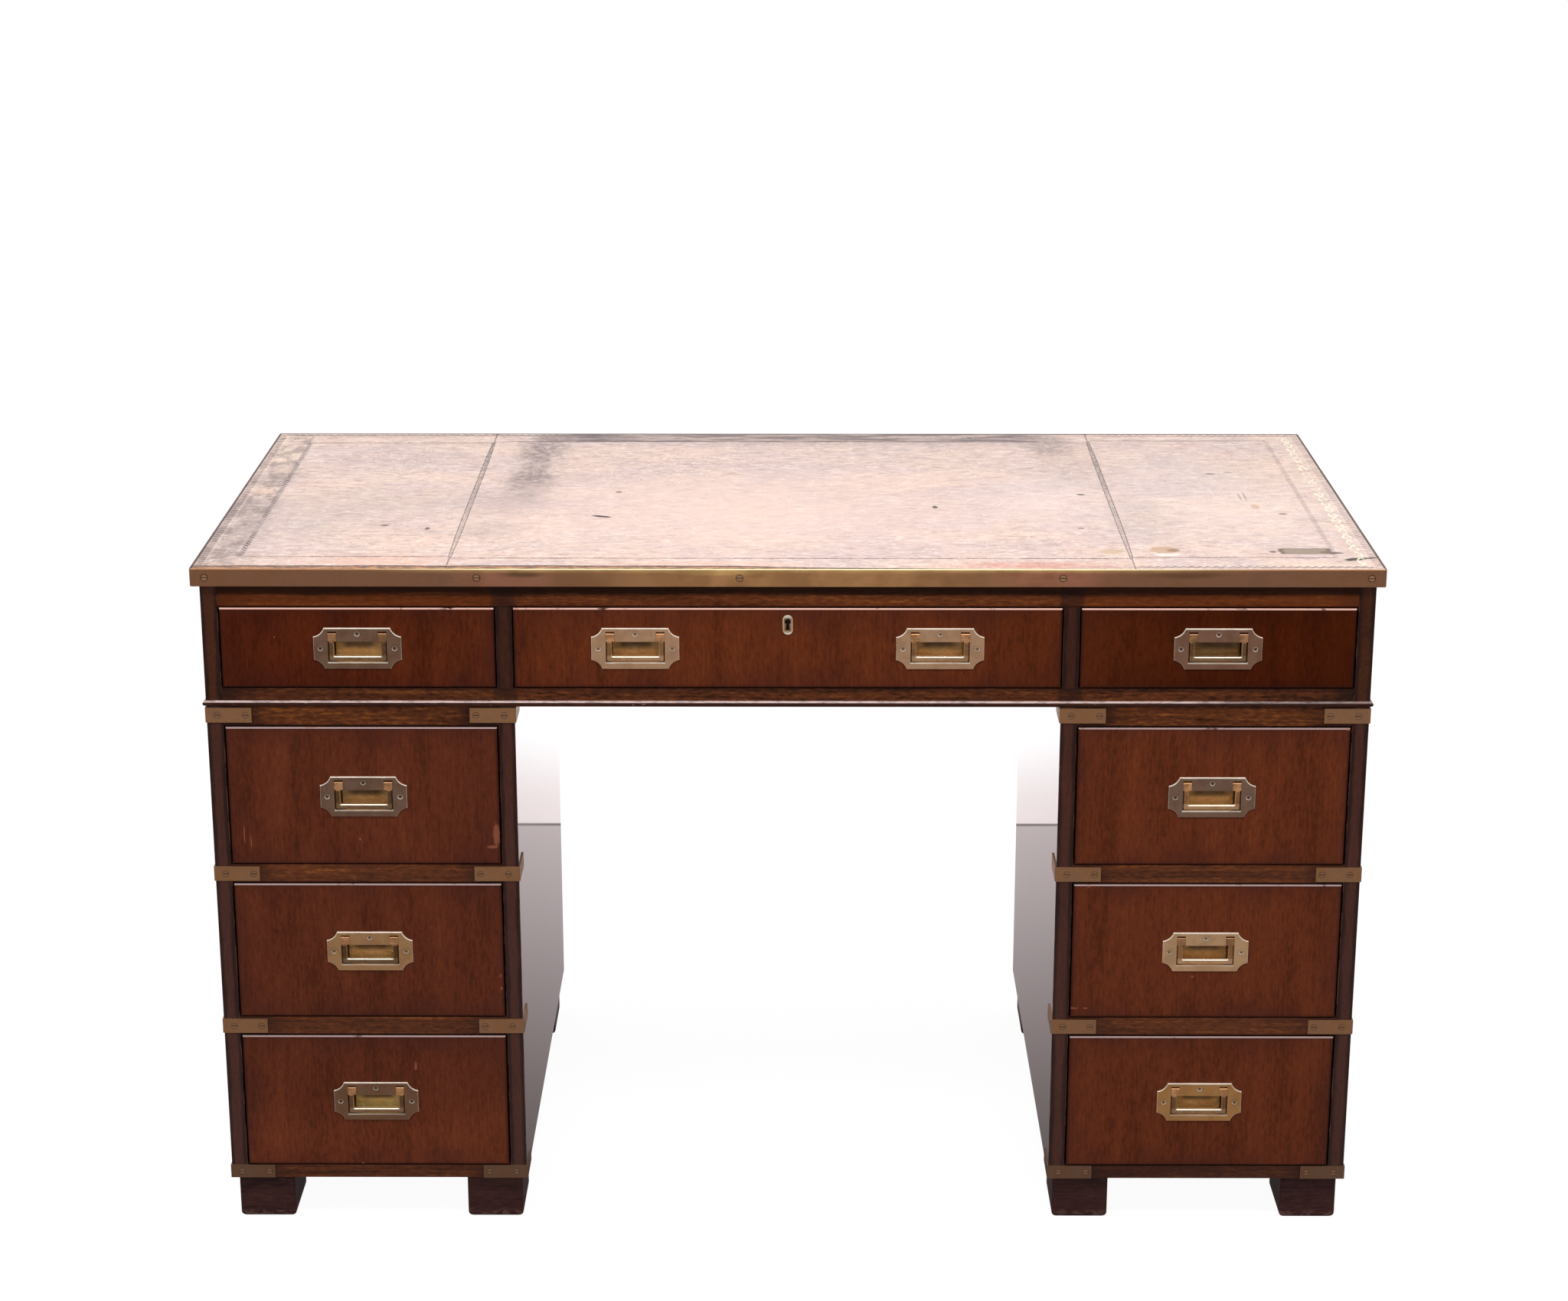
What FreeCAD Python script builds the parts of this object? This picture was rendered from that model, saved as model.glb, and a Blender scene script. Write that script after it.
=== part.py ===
"""Campaign desk: two pedestals of three drawers, and a lift-off top unit with three more.

Frame: X to the right, Y to the back, Z up, origin on the floor under the middle of the top.
All lengths are in millimetres. The sheet "Sizes" holds every size that can be set by itself;
each text in this file that names those sizes is an expression bound to the sheet.
"""
import FreeCAD
import Part
import Sketcher
import os
import re

DRIVING_SIZES = [
    # the whole desk
    ("top_width", 1270.0, "width over the brass band"),
    ("top_depth", 624.0, "depth over the brass band"),
    ("overhang", 8.6, "band beyond the carcase, front and sides"),
    ("back_overhang", 18.0, "band beyond the carcase at the back"),
    ("side_thickness", 18.0, "side boards of pedestals and top unit"),
    ("back_thickness", 10.0, "back boards"),
    ("rail_depth", 60.0, "front rails, front to back"),
    ("edge_round", 1.0, "rounding of the carcase's front corners"),
    # pedestals
    ("pedestal_width", 332.6, "outer face to kneehole face"),
    ("pedestal_height", 559.0, "carcase without its feet"),
    ("head_rail_height", 22.2, "rail above the first drawer"),
    ("rail_height", 21.4, "rails between drawers"),
    ("foot_rail_height", 15.5, "rail below the last drawer"),
    ("lid_thickness", 18.0, "top board of a pedestal"),
    ("runner_width", 32.0, "drawer runners behind the middle rails"),
    ("foot_height", 53.6, "block feet"),
    ("foot_width", 62.5, "block feet, along X"),
    ("foot_depth", 80.0, "block feet, along Y"),
    ("foot_inset_side", 6.0, "block feet behind the side faces"),
    ("foot_inset_front", 8.0, "block feet behind the front and back faces"),
    ("foot_corner_round", 3.0, "upright edges of the feet"),
    ("foot_sole_round", 6.0, "bottom edges of the feet"),
    ("dowel_radius", 5.0, "locating dowels between pedestal and top unit"),
    ("dowel_rise", 12.0, "dowel above the pedestal, and the same below"),
    ("dowel_play", 0.3, "hole round a dowel"),
    ("dowel_inset", 90.0, "dowel centre behind the front and back faces"),
    # brass corner straps
    ("strap_height", 16.6, "straps on the upper rails"),
    ("strap_rise", 1.4, "uppermost straps above the middle of their rail"),
    ("strap_front_leg", 50.0, "strap along the front"),
    ("strap_side_leg", 46.0, "strap along the side"),
    ("strap_thickness", 1.3, "straps stand this proud"),
    ("strap_corner_round", 1.2, "outer corner of a strap"),
    ("strap_screw_near", 12.9, "first screw from the corner"),
    ("strap_screw_far", 43.4, "second screw from the corner, on the front"),
    ("strap_screw_far_side", 39.4, "second screw from the corner, on the side"),
    ("strap_head_radius", 3.1, "strap screw heads"),
    # top unit
    ("base_height", 20.9, "lower rail and base board"),
    ("unit_opening", 91.0, "drawer openings of the top unit"),
    ("crown_rail_height", 24.7, "rail above the drawers"),
    ("band_height", 19.5, "brass band and top board together"),
    ("band_thickness", 1.6, "brass band"),
    ("band_corner_round", 3.0, "upright corners of the band"),
    ("band_edge_round", 0.5, "long edges of the band"),
    ("band_return", 14.0, "front and back bands bent round the corners"),
    ("leather_thickness", 1.5, "leather let into the top board"),
    ("panel_joint_left", 363.2, "left joint of the leather panels, from the middle"),
    ("panel_joint_right", 369.0, "right joint of the leather panels, from the middle"),
    ("divider_thickness", 17.0, "boards between the top unit's drawers"),
    ("divider_place", 303.3, "divider centre, from the middle"),
    ("bead_height", 6.0, "half-round moulding"),
    ("bead_lift", 0.8, "moulding above the underside of the top unit"),
    ("band_head_radius", 3.2, "band screw heads"),
    ("band_screw_end", 16.0, "last screws of the front and back bands, from the corner"),
    ("band_screw_left", 330.0, "front screw left of the middle"),
    ("band_screw_middle", 51.0, "front screw near the middle, left of it"),
    ("band_screw_right", 292.0, "front screw right of the middle"),
    ("band_screw_back", 205.0, "inner back screws from the middle"),
    ("band_screw_side", 205.0, "outer side screws from the middle"),
    # drawers
    ("front_thickness", 20.0, "drawer fronts"),
    ("front_proud", 1.5, "drawer fronts before the carcase"),
    ("front_gap", 1.2, "above and below a drawer front"),
    ("front_side_gap", 1.8, "beside a drawer front"),
    ("front_round", 2.0, "rounding of the drawer fronts"),
    ("drawer_side", 9.0, "drawer side and back boards"),
    ("drawer_bottom", 6.0, "drawer bottom boards"),
    ("drawer_bottom_lift", 5.0, "drawer bottom above the lower edge of the sides"),
    ("drawer_side_drop", 9.0, "drawer sides below the top of the opening"),
    ("drawer_play", 1.0, "beside a drawer's sides"),
    ("slide_gap", 0.3, "under a drawer's sides"),
    ("drawer_rear_gap", 12.0, "behind a drawer"),
    # recessed handles
    ("plate_width", 94.2, "handle plate"),
    ("plate_height", 45.6, "handle plate"),
    ("plate_thickness", 1.8, "handle plate, which stands this proud"),
    ("plate_edge_round", 0.5, "front edges of the plate"),
    ("notch_width", 11.5, "hollow corner of the plate, along X"),
    ("notch_height", 9.9, "hollow corner of the plate, along Z"),
    ("notch_radius", 14.0, "curve of the hollow corner"),
    ("recess_half_width", 31.6, "opening of the plate"),
    ("recess_floor", 15.5, "lower edge of the opening, below the middle"),
    ("tongue_half_width", 22.1, "plate between the two knuckles"),
    ("tongue_bottom", 7.6, "lower edge of the tongue, above the middle"),
    ("cup_depth", 12.0, "cup behind the drawer face"),
    ("cup_wall", 0.8, "sheet of the cup"),
    ("cup_round", 3.0, "inner edges at the back of the cup"),
    ("cup_play", 0.4, "wood round the cup"),
    ("knuckle_half", 4.6, "square knuckles of the bail, hinge line to each face"),
    ("knuckle_round", 0.8, "long edges of a knuckle"),
    ("knuckle_play", 0.2, "beside a knuckle"),
    ("knuckle_height", 12.1, "hinge line above the middle of the plate"),
    ("knuckle_proud", 0.2, "knuckle before the plate"),
    ("knuckle_crown_gap", 1.9, "plate above a knuckle, so that its corners can turn"),
    ("pin_radius", 1.3, "hinge pins"),
    ("pin_play", 0.06, "bore round a pin"),
    ("lug_width", 3.4, "lug behind the tongue, along X"),
    ("bail_half_width", 30.5, "bail over its arms"),
    ("bail_bar", 5.5, "width of the arms and height of the bar"),
    ("bail_drop", 26.4, "hinge line to the underside of the bar"),
    ("bail_thickness", 4.2, "bail, front to back"),
    ("bail_sink", 0.1, "bail behind the face of the plate"),
    ("bail_round", 1.3, "edges of the bail"),
    ("handle_head_radius", 3.1, "handle screw heads"),
    ("handle_screw_side", 39.7, "side screws from the middle"),
    ("handle_screw_top", 16.2, "top screw above the middle"),
    ("handle_spread", 163.0, "handles of the wide drawer, from its middle"),
    # wood screws
    ("head_depth", 1.2, "countersunk heads"),
    ("shank_radius", 1.5, "screw shanks"),
    ("shank_length", 9.0, "screws under their heads"),
    ("screw_slot", 0.9, "width of a slot"),
    ("screw_slot_depth", 0.5, "depth of a slot"),
    # lock of the wide drawer
    ("escutcheon_width", 10.8, "keyhole plate"),
    ("escutcheon_height", 21.6, "keyhole plate"),
    ("escutcheon_thickness", 1.0, "keyhole plate"),
    ("escutcheon_drop", 17.9, "its middle below the top edge of the drawer front"),
    ("keyhole_radius", 2.4, "round part of the keyhole"),
    ("keyhole_slot", 1.9, "width of its slot"),
    ("keyhole_reach", 8.6, "slot below the round part's middle"),
    ("keyhole_rise", 3.6, "round part's middle above the plate's middle"),
    ("lock_width", 60.0, "lock case"),
    ("lock_height", 44.0, "lock case"),
    ("lock_depth", 11.0, "lock case"),
    ("lock_wall", 1.6, "sheet of the lock case"),
    ("bolt_width", 20.0, "lock bolt"),
    ("bolt_height", 26.0, "lock bolt"),
    ("bolt_thickness", 3.2, "lock bolt"),
    ("bolt_play", 0.15, "round the bolt in its case"),
    ("mortice_play", 0.3, "round the bolt in the rail"),
    ("mortice_depth", 9.5, "mortice in the rail"),
]

doc = FreeCAD.newDocument("campaign_desk")
sheet = doc.addObject("Spreadsheet::Sheet", "Sizes")
for row, (alias, number, meaning) in enumerate(DRIVING_SIZES, start=1):
    sheet.set(f"A{row}", meaning)
    sheet.set(f"B{row}", str(number))
    sheet.setAlias(f"B{row}", alias)
doc.recompute()

ALIASES = [alias for alias, number, meaning in DRIVING_SIZES]
ALIAS_WORD = re.compile(r"\b(" + "|".join(sorted(ALIASES, key=len, reverse=True)) + r")\b")


# ---------------------------------------------------------------- expressions

def on_sheet(text):
    """The expression with each size's name turned into its cell on the sheet."""
    return ALIAS_WORD.sub(r"Sizes.\1", text)


def value(alias):
    """One size of the sheet as a number, for what takes no expression."""
    return float(sheet.get(alias))


def bind(item, bindings):
    """Bind properties of an object to expressions over the sheet."""
    for name, text in bindings.items():
        item.setExpression(name, on_sheet(text))


def mirrored_span(side, near, far):
    """X span between two distances from the middle plane, right (1) or left (-1) of it."""
    if side > 0:
        return near, far
    return f"-({far})", f"-({near})"


# places that several pieces share
OUTER = "(top_width / 2 - overhang)"
INNER = f"({OUTER} - pedestal_width)"
FRONT = "(-top_depth / 2 + overhang)"
BACK = "(top_depth / 2 - back_overhang)"
RAIL_BACK = f"({FRONT} + rail_depth)"
LINING_BACK = f"({BACK} - back_thickness)"
PEDESTAL_TOP = "(foot_height + pedestal_height)"
PEDESTAL_OPENING = "((pedestal_height - head_rail_height - 2 * rail_height - foot_rail_height) / 3)"
BASE_TOP = f"({PEDESTAL_TOP} + base_height)"
CROWN_BOTTOM = f"({BASE_TOP} + unit_opening)"
BOARD_BOTTOM = f"({CROWN_BOTTOM} + crown_rail_height)"
BOARD_TOP = f"({BOARD_BOTTOM} + band_height)"
DRAWER_FACE = f"({FRONT} - front_proud)"
WALL_OUTER = f"({OUTER} - side_thickness)"
WALL_INNER = f"({INNER} + side_thickness)"
PEDESTAL_MIDDLE = f"(({OUTER} + {INNER}) / 2)"


def opening_bottom(drawer):
    """Height of the floor of a pedestal's drawer opening, 1 at the top to 3 at the bottom."""
    return (f"({PEDESTAL_TOP} - head_rail_height - {drawer} * {PEDESTAL_OPENING}"
            f" - {drawer - 1} * rail_height)")


# ---------------------------------------------------------------- building helpers

def box(name, x, y, z):
    """Board between two X, two Y and two Z places."""
    board = doc.addObject("Part::Box", name)
    bind(board, {
        "Length": f"({x[1]}) - ({x[0]})",
        "Width": f"({y[1]}) - ({y[0]})",
        "Height": f"({z[1]}) - ({z[0]})",
        "Placement.Base.x": x[0],
        "Placement.Base.y": y[0],
        "Placement.Base.z": z[0],
    })
    return board


def round_bar(name, radius, length, axis, x="0", y="0", z="0"):
    """Cylinder from one place along X, Y or Z."""
    bar = doc.addObject("Part::Cylinder", name)
    turns = {"x": (0, 1, 0, 90), "y": (1, 0, 0, -90), "z": (0, 0, 1, 0)}
    turn_x, turn_y, turn_z, angle = turns[axis]
    bar.Placement.Rotation = FreeCAD.Rotation(FreeCAD.Vector(turn_x, turn_y, turn_z), angle)
    bind(bar, {
        "Radius": radius,
        "Height": length,
        "Placement.Base.x": x,
        "Placement.Base.y": y,
        "Placement.Base.z": z,
    })
    return bar


def group(name, links, x="0", y="0", z="0", turn=0.0):
    """Separate solids under one name, moved to one place and turned about Z."""
    gathered = doc.addObject("Part::Compound", name)
    gathered.Links = links
    gathered.Placement.Rotation = FreeCAD.Rotation(FreeCAD.Vector(0, 0, 1), turn)
    bind(gathered, {"Placement.Base.x": x, "Placement.Base.y": y, "Placement.Base.z": z})
    return gathered


def cut(name, base, tools):
    """Base with each tool taken away."""
    for index, tool in enumerate(tools, start=1):
        result = doc.addObject("Part::Cut", f"{name}_{index}")
        result.Base = base
        result.Tool = tool
        base = result
    return base


def fuse(name, pieces):
    """One solid from pieces that meet."""
    fusion = doc.addObject("Part::MultiFuse", name)
    fusion.Shapes = pieces
    return fusion


def common(name, first, second):
    """What two solids share."""
    shared = doc.addObject("Part::Common", name)
    shared.Base = first
    shared.Tool = second
    return shared


def mirror(name, source):
    """The same solid on the other side of the YZ plane."""
    reflection = doc.addObject("Part::Mirroring", name)
    reflection.Source = source
    reflection.Normal = FreeCAD.Vector(1, 0, 0)
    return reflection


def rounded(name, base, choices):
    """Base with edges rounded; choices pairs a radius with a test on an edge's middle and line."""
    doc.recompute()
    shape = base.Shape
    bounds = shape.BoundBox
    edges = []
    for index, edge in enumerate(shape.Edges, start=1):
        middle = edge.CenterOfMass
        along = edge.Vertexes[-1].Point - edge.Vertexes[0].Point
        for radius, wanted in choices:
            if wanted(middle, along, bounds):
                edges.append((index, radius, radius))
                break
    fillet = doc.addObject("Part::Fillet", name)
    fillet.Base = base
    fillet.Edges = edges
    return fillet


NEAR = 0.001


def upright(middle, along, bounds):
    """An edge along Z."""
    return abs(along.x) < NEAR and abs(along.y) < NEAR


def on_face_front(middle, along, bounds):
    """An edge of the frontmost face."""
    return abs(middle.y - bounds.YMin) < NEAR


def on_face_bottom(middle, along, bounds):
    """An edge of the lowest face."""
    return abs(middle.z - bounds.ZMin) < NEAR


def on_outer_top_or_bottom(middle, along, bounds):
    """A level edge on the outline of the top or the bottom face."""
    return not upright(middle, along, bounds)


def polygon_sketch(body, name, plane, corners):
    """Closed outline through corners, each held by two bound distances from the origin."""
    sketch = body.newObject("Sketcher::SketchObject", name)
    support = [item for item in body.Origin.OriginFeatures if item.Role == plane][0]
    sketch.AttachmentSupport = (support, [""])
    sketch.MapMode = "FlatFace"
    rough = [FreeCAD.Vector(*spot, 0) for spot in rough_circle(len(corners))]
    for index, start in enumerate(rough):
        end = rough[(index + 1) % len(rough)]
        sketch.addGeometry(Part.LineSegment(start, end), False)
    for index in range(len(corners)):
        following = (index + 1) % len(corners)
        sketch.addConstraint(Sketcher.Constraint("Coincident", index, 2, following, 1))
    for index, (across, up) in enumerate(corners):
        for letter, kind, text in (("a", "DistanceX", across), ("u", "DistanceY", up)):
            start = rough[index].x if kind == "DistanceX" else rough[index].y
            number = sketch.addConstraint(Sketcher.Constraint(kind, -1, 1, index, 1, start))
            sketch.renameConstraint(number, f"{letter}{index}")
            sketch.setExpression(f"Constraints.{letter}{index}", on_sheet(text))
    return sketch


def rough_circle(count):
    """Starting places for a sketch's corners, in order round the origin."""
    turn = FreeCAD.Rotation(FreeCAD.Vector(0, 0, 1), 360.0 / count)
    spot = FreeCAD.Vector(10, 0, 0)
    spots = []
    for _ in range(count):
        spots.append((spot.x, spot.y))
        spot = turn.multVec(spot)
    return spots


def padded(name, plane, corners, length, reverse=False):
    """Body made by padding one outline."""
    body = doc.addObject("PartDesign::Body", name)
    sketch = polygon_sketch(body, f"{name}_outline", plane, corners)
    pad = body.newObject("PartDesign::Pad", f"{name}_pad")
    pad.Profile = sketch
    pad.Reversed = reverse
    bind(pad, {"Length": length})
    return body


# ---------------------------------------------------------------- screws

def countersunk_form(name, head_radius, slotted):
    """Wood screw whose head lies flush at y = 0 and points along +Y."""
    head = doc.addObject("Part::Cone", f"{name}_head")
    head.Placement.Rotation = FreeCAD.Rotation(FreeCAD.Vector(1, 0, 0), -90)
    bind(head, {"Radius1": head_radius, "Radius2": "shank_radius", "Height": "head_depth"})
    shank = round_bar(f"{name}_shank", "shank_radius", "shank_length", "y", y="head_depth")
    screw = fuse(f"{name}_form", [head, shank])
    if not slotted:
        return screw
    slot = box(f"{name}_slot", (f"-{head_radius} - 1", f"{head_radius} + 1"),
               ("-1", "screw_slot_depth"), ("-screw_slot / 2", "screw_slot / 2"))
    return cut(name, screw, [slot])


# ---------------------------------------------------------------- pedestals

def pedestal_boards():
    """Sides, backs, lids, floors, rails, runners and feet of both pedestals."""
    sides, backs, lids, floors, rails, runners, feet = [], [], [], [], [], [], []
    for side, word in ((-1, "left"), (1, "right")):
        for place, near, far in (("outer", WALL_OUTER, OUTER), ("knee", INNER, WALL_INNER)):
            board = box(f"{word}_{place}_board", mirrored_span(side, near, far),
                        (FRONT, BACK), ("foot_height", PEDESTAL_TOP))
            sides.append(rounded(f"{word}_{place}_side", board, [
                (value("edge_round"), lambda m, a, b: upright(m, a, b) and on_face_front(m, a, b)),
            ]))
        between = mirrored_span(side, WALL_INNER, WALL_OUTER)
        behind_rail = (RAIL_BACK, LINING_BACK)
        backs.append(box(f"{word}_back", between, (LINING_BACK, BACK),
                         ("foot_height", PEDESTAL_TOP)))
        lids.append(box(f"{word}_lid", between, behind_rail,
                        (f"{PEDESTAL_TOP} - lid_thickness", PEDESTAL_TOP)))
        floors.append(box(f"{word}_floor", between, behind_rail,
                          ("foot_height", "foot_height + foot_rail_height")))
        rails.append(box(f"{word}_head_rail", between, (FRONT, RAIL_BACK),
                         (f"{PEDESTAL_TOP} - head_rail_height", PEDESTAL_TOP)))
        rails.append(box(f"{word}_foot_rail", between, (FRONT, RAIL_BACK),
                         ("foot_height", "foot_height + foot_rail_height")))
        for drawer in (1, 2):
            level = (f"{opening_bottom(drawer)} - rail_height", opening_bottom(drawer))
            rails.append(box(f"{word}_rail_{drawer}", between, (FRONT, RAIL_BACK), level))
            for place, near, far in (("knee", WALL_INNER, f"{WALL_INNER} + runner_width"),
                                     ("outer", f"{WALL_OUTER} - runner_width", WALL_OUTER)):
                runners.append(box(f"{word}_{place}_runner_{drawer}",
                                   mirrored_span(side, near, far), behind_rail, level))
        feet += pedestal_feet(side, word)
    dowels, holes = locating_dowels()
    lids = [cut(f"drilled_lid_{number}", lid, holes[number]) for number, lid in enumerate(lids)]
    group("pedestal_sides", sides)
    group("pedestal_backs", backs)
    group("pedestal_tops", lids)
    group("pedestal_bottoms", floors)
    group("pedestal_rails", rails)
    group("drawer_runners", runners)
    group("block_feet", feet)
    group("locating_dowels", dowels)


def pedestal_feet(side, word):
    """Four block feet under one pedestal."""
    feet = []
    reach_in = "(foot_inset_side + foot_width)"
    for place, near, far in (
            ("outer", f"{OUTER} - {reach_in}", f"{OUTER} - foot_inset_side"),
            ("knee", f"{INNER} + foot_inset_side", f"{INNER} + {reach_in}")):
        for end, start, stop in (
                ("front", f"{FRONT} + foot_inset_front",
                 f"{FRONT} + foot_inset_front + foot_depth"),
                ("back", f"{BACK} - foot_inset_front - foot_depth",
                 f"{BACK} - foot_inset_front")):
            block = box(f"{word}_{place}_{end}_block", mirrored_span(side, near, far),
                        (start, stop), ("0", "foot_height"))
            feet.append(rounded(f"{word}_{place}_{end}_foot", block, [
                (value("foot_sole_round"), on_face_bottom),
                (value("foot_corner_round"), upright),
            ]))
    return feet


def locating_dowels():
    """Two dowels in each pedestal's lid, and the holes that seat them there."""
    dowels, holes = [], []
    for side in (-1, 1):
        seats = []
        for y in (f"{FRONT} + dowel_inset", f"{BACK} - dowel_inset"):
            place = {"x": f"{side} * {PEDESTAL_MIDDLE}", "y": y,
                     "z": f"{PEDESTAL_TOP} - dowel_rise"}
            number = len(dowels)
            dowels.append(round_bar(f"dowel_{number}", "dowel_radius", "2 * dowel_rise",
                                    "z", **place))
            seats.append(round_bar(f"dowel_seat_{number}", "dowel_radius", "2 * dowel_rise",
                                   "z", **place))
        holes.append(seats)
    return dowels, holes


# ---------------------------------------------------------------- corner straps

def strap_forms(level_word, height):
    """Strap for a left-hand front corner, and the four screws in it, from the corner's foot."""
    outline = [
        ("-strap_thickness", "-strap_thickness"),
        ("strap_front_leg - strap_thickness", "-strap_thickness"),
        ("strap_front_leg - strap_thickness", "0"),
        ("0", "0"),
        ("0", "strap_side_leg - strap_thickness"),
        ("-strap_thickness", "strap_side_leg - strap_thickness"),
    ]
    bent = padded(f"{level_word}_strap_blank", "XY_Plane", outline, height)
    corner = rounded(f"{level_word}_strap_bent", bent, [
        (value("strap_corner_round"), lambda m, a, b: upright(m, a, b)
         and abs(m.x - b.XMin) < NEAR and abs(m.y - b.YMin) < NEAR),
    ])
    screw = countersunk_form(f"{level_word}_strap_screw", "strap_head_radius", True)
    hole = countersunk_form(f"{level_word}_strap_hole", "strap_head_radius", False)
    screws, holes = [], []
    for form, placed in ((screw, screws), (hole, holes)):
        for word, x in (("near", "strap_screw_near"), ("far", "strap_screw_far")):
            placed.append(group(f"{form.Name}_front_{word}", [form], x=f"{x} - strap_thickness",
                                y="-strap_thickness", z=f"({height}) / 2"))
        for word, y in (("near", "strap_screw_near"), ("far", "strap_screw_far_side")):
            placed.append(group(f"{form.Name}_side_{word}", [form], x="-strap_thickness",
                                y=f"{y} - strap_thickness", z=f"({height}) / 2", turn=-90.0))
    strap = cut(f"{level_word}_strap", corner, holes)
    return strap, group(f"{level_word}_strap_screws", screws)


def corner_straps():
    """Straps round the front corners of both pedestals, one on the end of every rail."""
    upper = strap_forms("upper", "strap_height")
    low_height = "min(strap_height; foot_rail_height)"
    lower = strap_forms("lower", low_height)
    upper_right = [mirror(f"{form.Name}_right", form) for form in upper]
    lower_right = [mirror(f"{form.Name}_right", form) for form in lower]
    levels = [(f"{PEDESTAL_TOP} - (head_rail_height + strap_height) / 2 + strap_rise",
               upper, upper_right)]
    for drawer in (1, 2):
        middle = f"{opening_bottom(drawer)} - (rail_height + strap_height) / 2"
        levels.append((middle, upper, upper_right))
    levels.append((f"foot_height + (foot_rail_height - {low_height}) / 2", lower, lower_right))
    straps, screws = [], []
    for number, (z, left_forms, right_forms) in enumerate(levels):
        for corner, x, forms in (
                ("a", f"-{OUTER}", left_forms), ("b", f"-{INNER}", right_forms),
                ("c", INNER, left_forms), ("d", OUTER, right_forms)):
            label = f"corner_{corner}_{number}"
            straps.append(group(f"{label}_strap", [forms[0]], x=x, y=FRONT, z=z))
            screws.append(group(f"{label}_screws", [forms[1]], x=x, y=FRONT, z=z))
    group("corner_straps", straps)
    group("strap_screws", screws)


# ---------------------------------------------------------------- top unit

def top_unit_boards():
    """Sides, back, rails, dividers and base board of the top unit."""
    sides = []
    for side, word in ((-1, "left"), (1, "right")):
        board = box(f"{word}_unit_board", mirrored_span(side, WALL_OUTER, OUTER),
                    (FRONT, BACK), (PEDESTAL_TOP, BOARD_BOTTOM))
        sides.append(rounded(f"{word}_unit_side", board, [
            (value("edge_round"), lambda m, a, b: upright(m, a, b) and on_face_front(m, a, b)),
        ]))
    group("unit_sides", sides)
    between = mirrored_span(1, f"-{WALL_OUTER}", WALL_OUTER)
    group("unit_back", [box("unit_back_board", between, (LINING_BACK, BACK),
                            (PEDESTAL_TOP, BOARD_BOTTOM))])
    lower = box("unit_lower_rail", between, (FRONT, RAIL_BACK), (PEDESTAL_TOP, BASE_TOP))
    crown = box("unit_crown_board", between, (FRONT, RAIL_BACK), (CROWN_BOTTOM, BOARD_BOTTOM))
    mortice = box("lock_mortice",
                  ("-bolt_width / 2 - mortice_play", "bolt_width / 2 + mortice_play"),
                  (f"{BOLT_FRONT} - mortice_play", f"{BOLT_FRONT} + bolt_thickness + mortice_play"),
                  (f"{CROWN_BOTTOM} - 1", f"{CROWN_BOTTOM} + mortice_depth"))
    rear = box("unit_rear_rail", between, (f"{LINING_BACK} - rail_depth", LINING_BACK),
               (CROWN_BOTTOM, BOARD_BOTTOM))
    group("unit_rails", [lower, cut("unit_crown_rail", crown, [mortice]), rear])
    dividers = []
    for side, word in ((-1, "left"), (1, "right")):
        dividers.append(box(f"{word}_divider",
                            mirrored_span(side, "divider_place - divider_thickness / 2",
                                          "divider_place + divider_thickness / 2"),
                            (FRONT, LINING_BACK), (BASE_TOP, CROWN_BOTTOM)))
    group("unit_dividers", dividers)
    base = box("base_blank", between, (RAIL_BACK, LINING_BACK), (PEDESTAL_TOP, BASE_TOP))
    holes = []
    for side in (-1, 1):
        for y in (f"{FRONT} + dowel_inset", f"{BACK} - dowel_inset"):
            holes.append(round_bar(f"dowel_hole_{len(holes)}", "dowel_radius + dowel_play",
                                   "dowel_rise + 2", "z", x=f"{side} * {PEDESTAL_MIDDLE}",
                                   y=y, z=f"{PEDESTAL_TOP} - 1"))
    group("base_board", [cut("base_drilled", base, holes)])


def writing_surface():
    """Top board, leather panels, brass band with its screws."""
    inside = "(top_width / 2 - band_thickness)"
    inside_depth = "(top_depth / 2 - band_thickness)"
    leather_bottom = f"{BOARD_TOP} - leather_thickness"
    depth = (f"-{inside_depth}", inside_depth)
    group("top_board", [box("top_core", (f"-{inside}", inside), depth,
                            (BOARD_BOTTOM, leather_bottom))])
    spans = [("left", f"-{inside}", "-panel_joint_left"),
             ("middle", "-panel_joint_left", "panel_joint_right"),
             ("right", "panel_joint_right", inside)]
    panels = []
    for word, start, stop in spans:
        panels.append(box(f"{word}_leather", (start, stop), depth, (leather_bottom, BOARD_TOP)))
    group("leather_panels", panels)

    block = box("band_block", ("-top_width / 2", "top_width / 2"),
                ("-top_depth / 2", "top_depth / 2"), (BOARD_BOTTOM, BOARD_TOP))
    outside = rounded("band_outside", block, [
        (value("band_corner_round"), upright),
        (value("band_edge_round"), on_outer_top_or_bottom),
    ])
    core = box("band_core", (f"-{inside}", inside), depth,
               (f"{BOARD_BOTTOM} - 1", f"{BOARD_TOP} + 1"))
    ring = cut("band_ring", outside, [core])
    end = "(top_depth / 2 - band_return)"
    reach = ("-top_width", "top_width")
    level = (f"{BOARD_BOTTOM} - 1", f"{BOARD_TOP} + 1")
    regions = [
        ("front", reach, ("-top_depth", f"-{end}")),
        ("back", reach, (end, "top_depth")),
        ("left", ("-top_width", "0"), (f"-{end}", end)),
        ("right", ("0", "top_width"), (f"-{end}", end)),
    ]
    strips = []
    for word, x, y in regions:
        strips.append(common(f"{word}_band", ring, box(f"{word}_band_region", x, y, level)))
    screws, holes = band_screws()
    for number, strip in enumerate(strips):
        strips[number] = cut(f"drilled_band_{number}", strip, [holes[number]])
    group("edge_band", strips)
    group("band_screws", screws)


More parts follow.
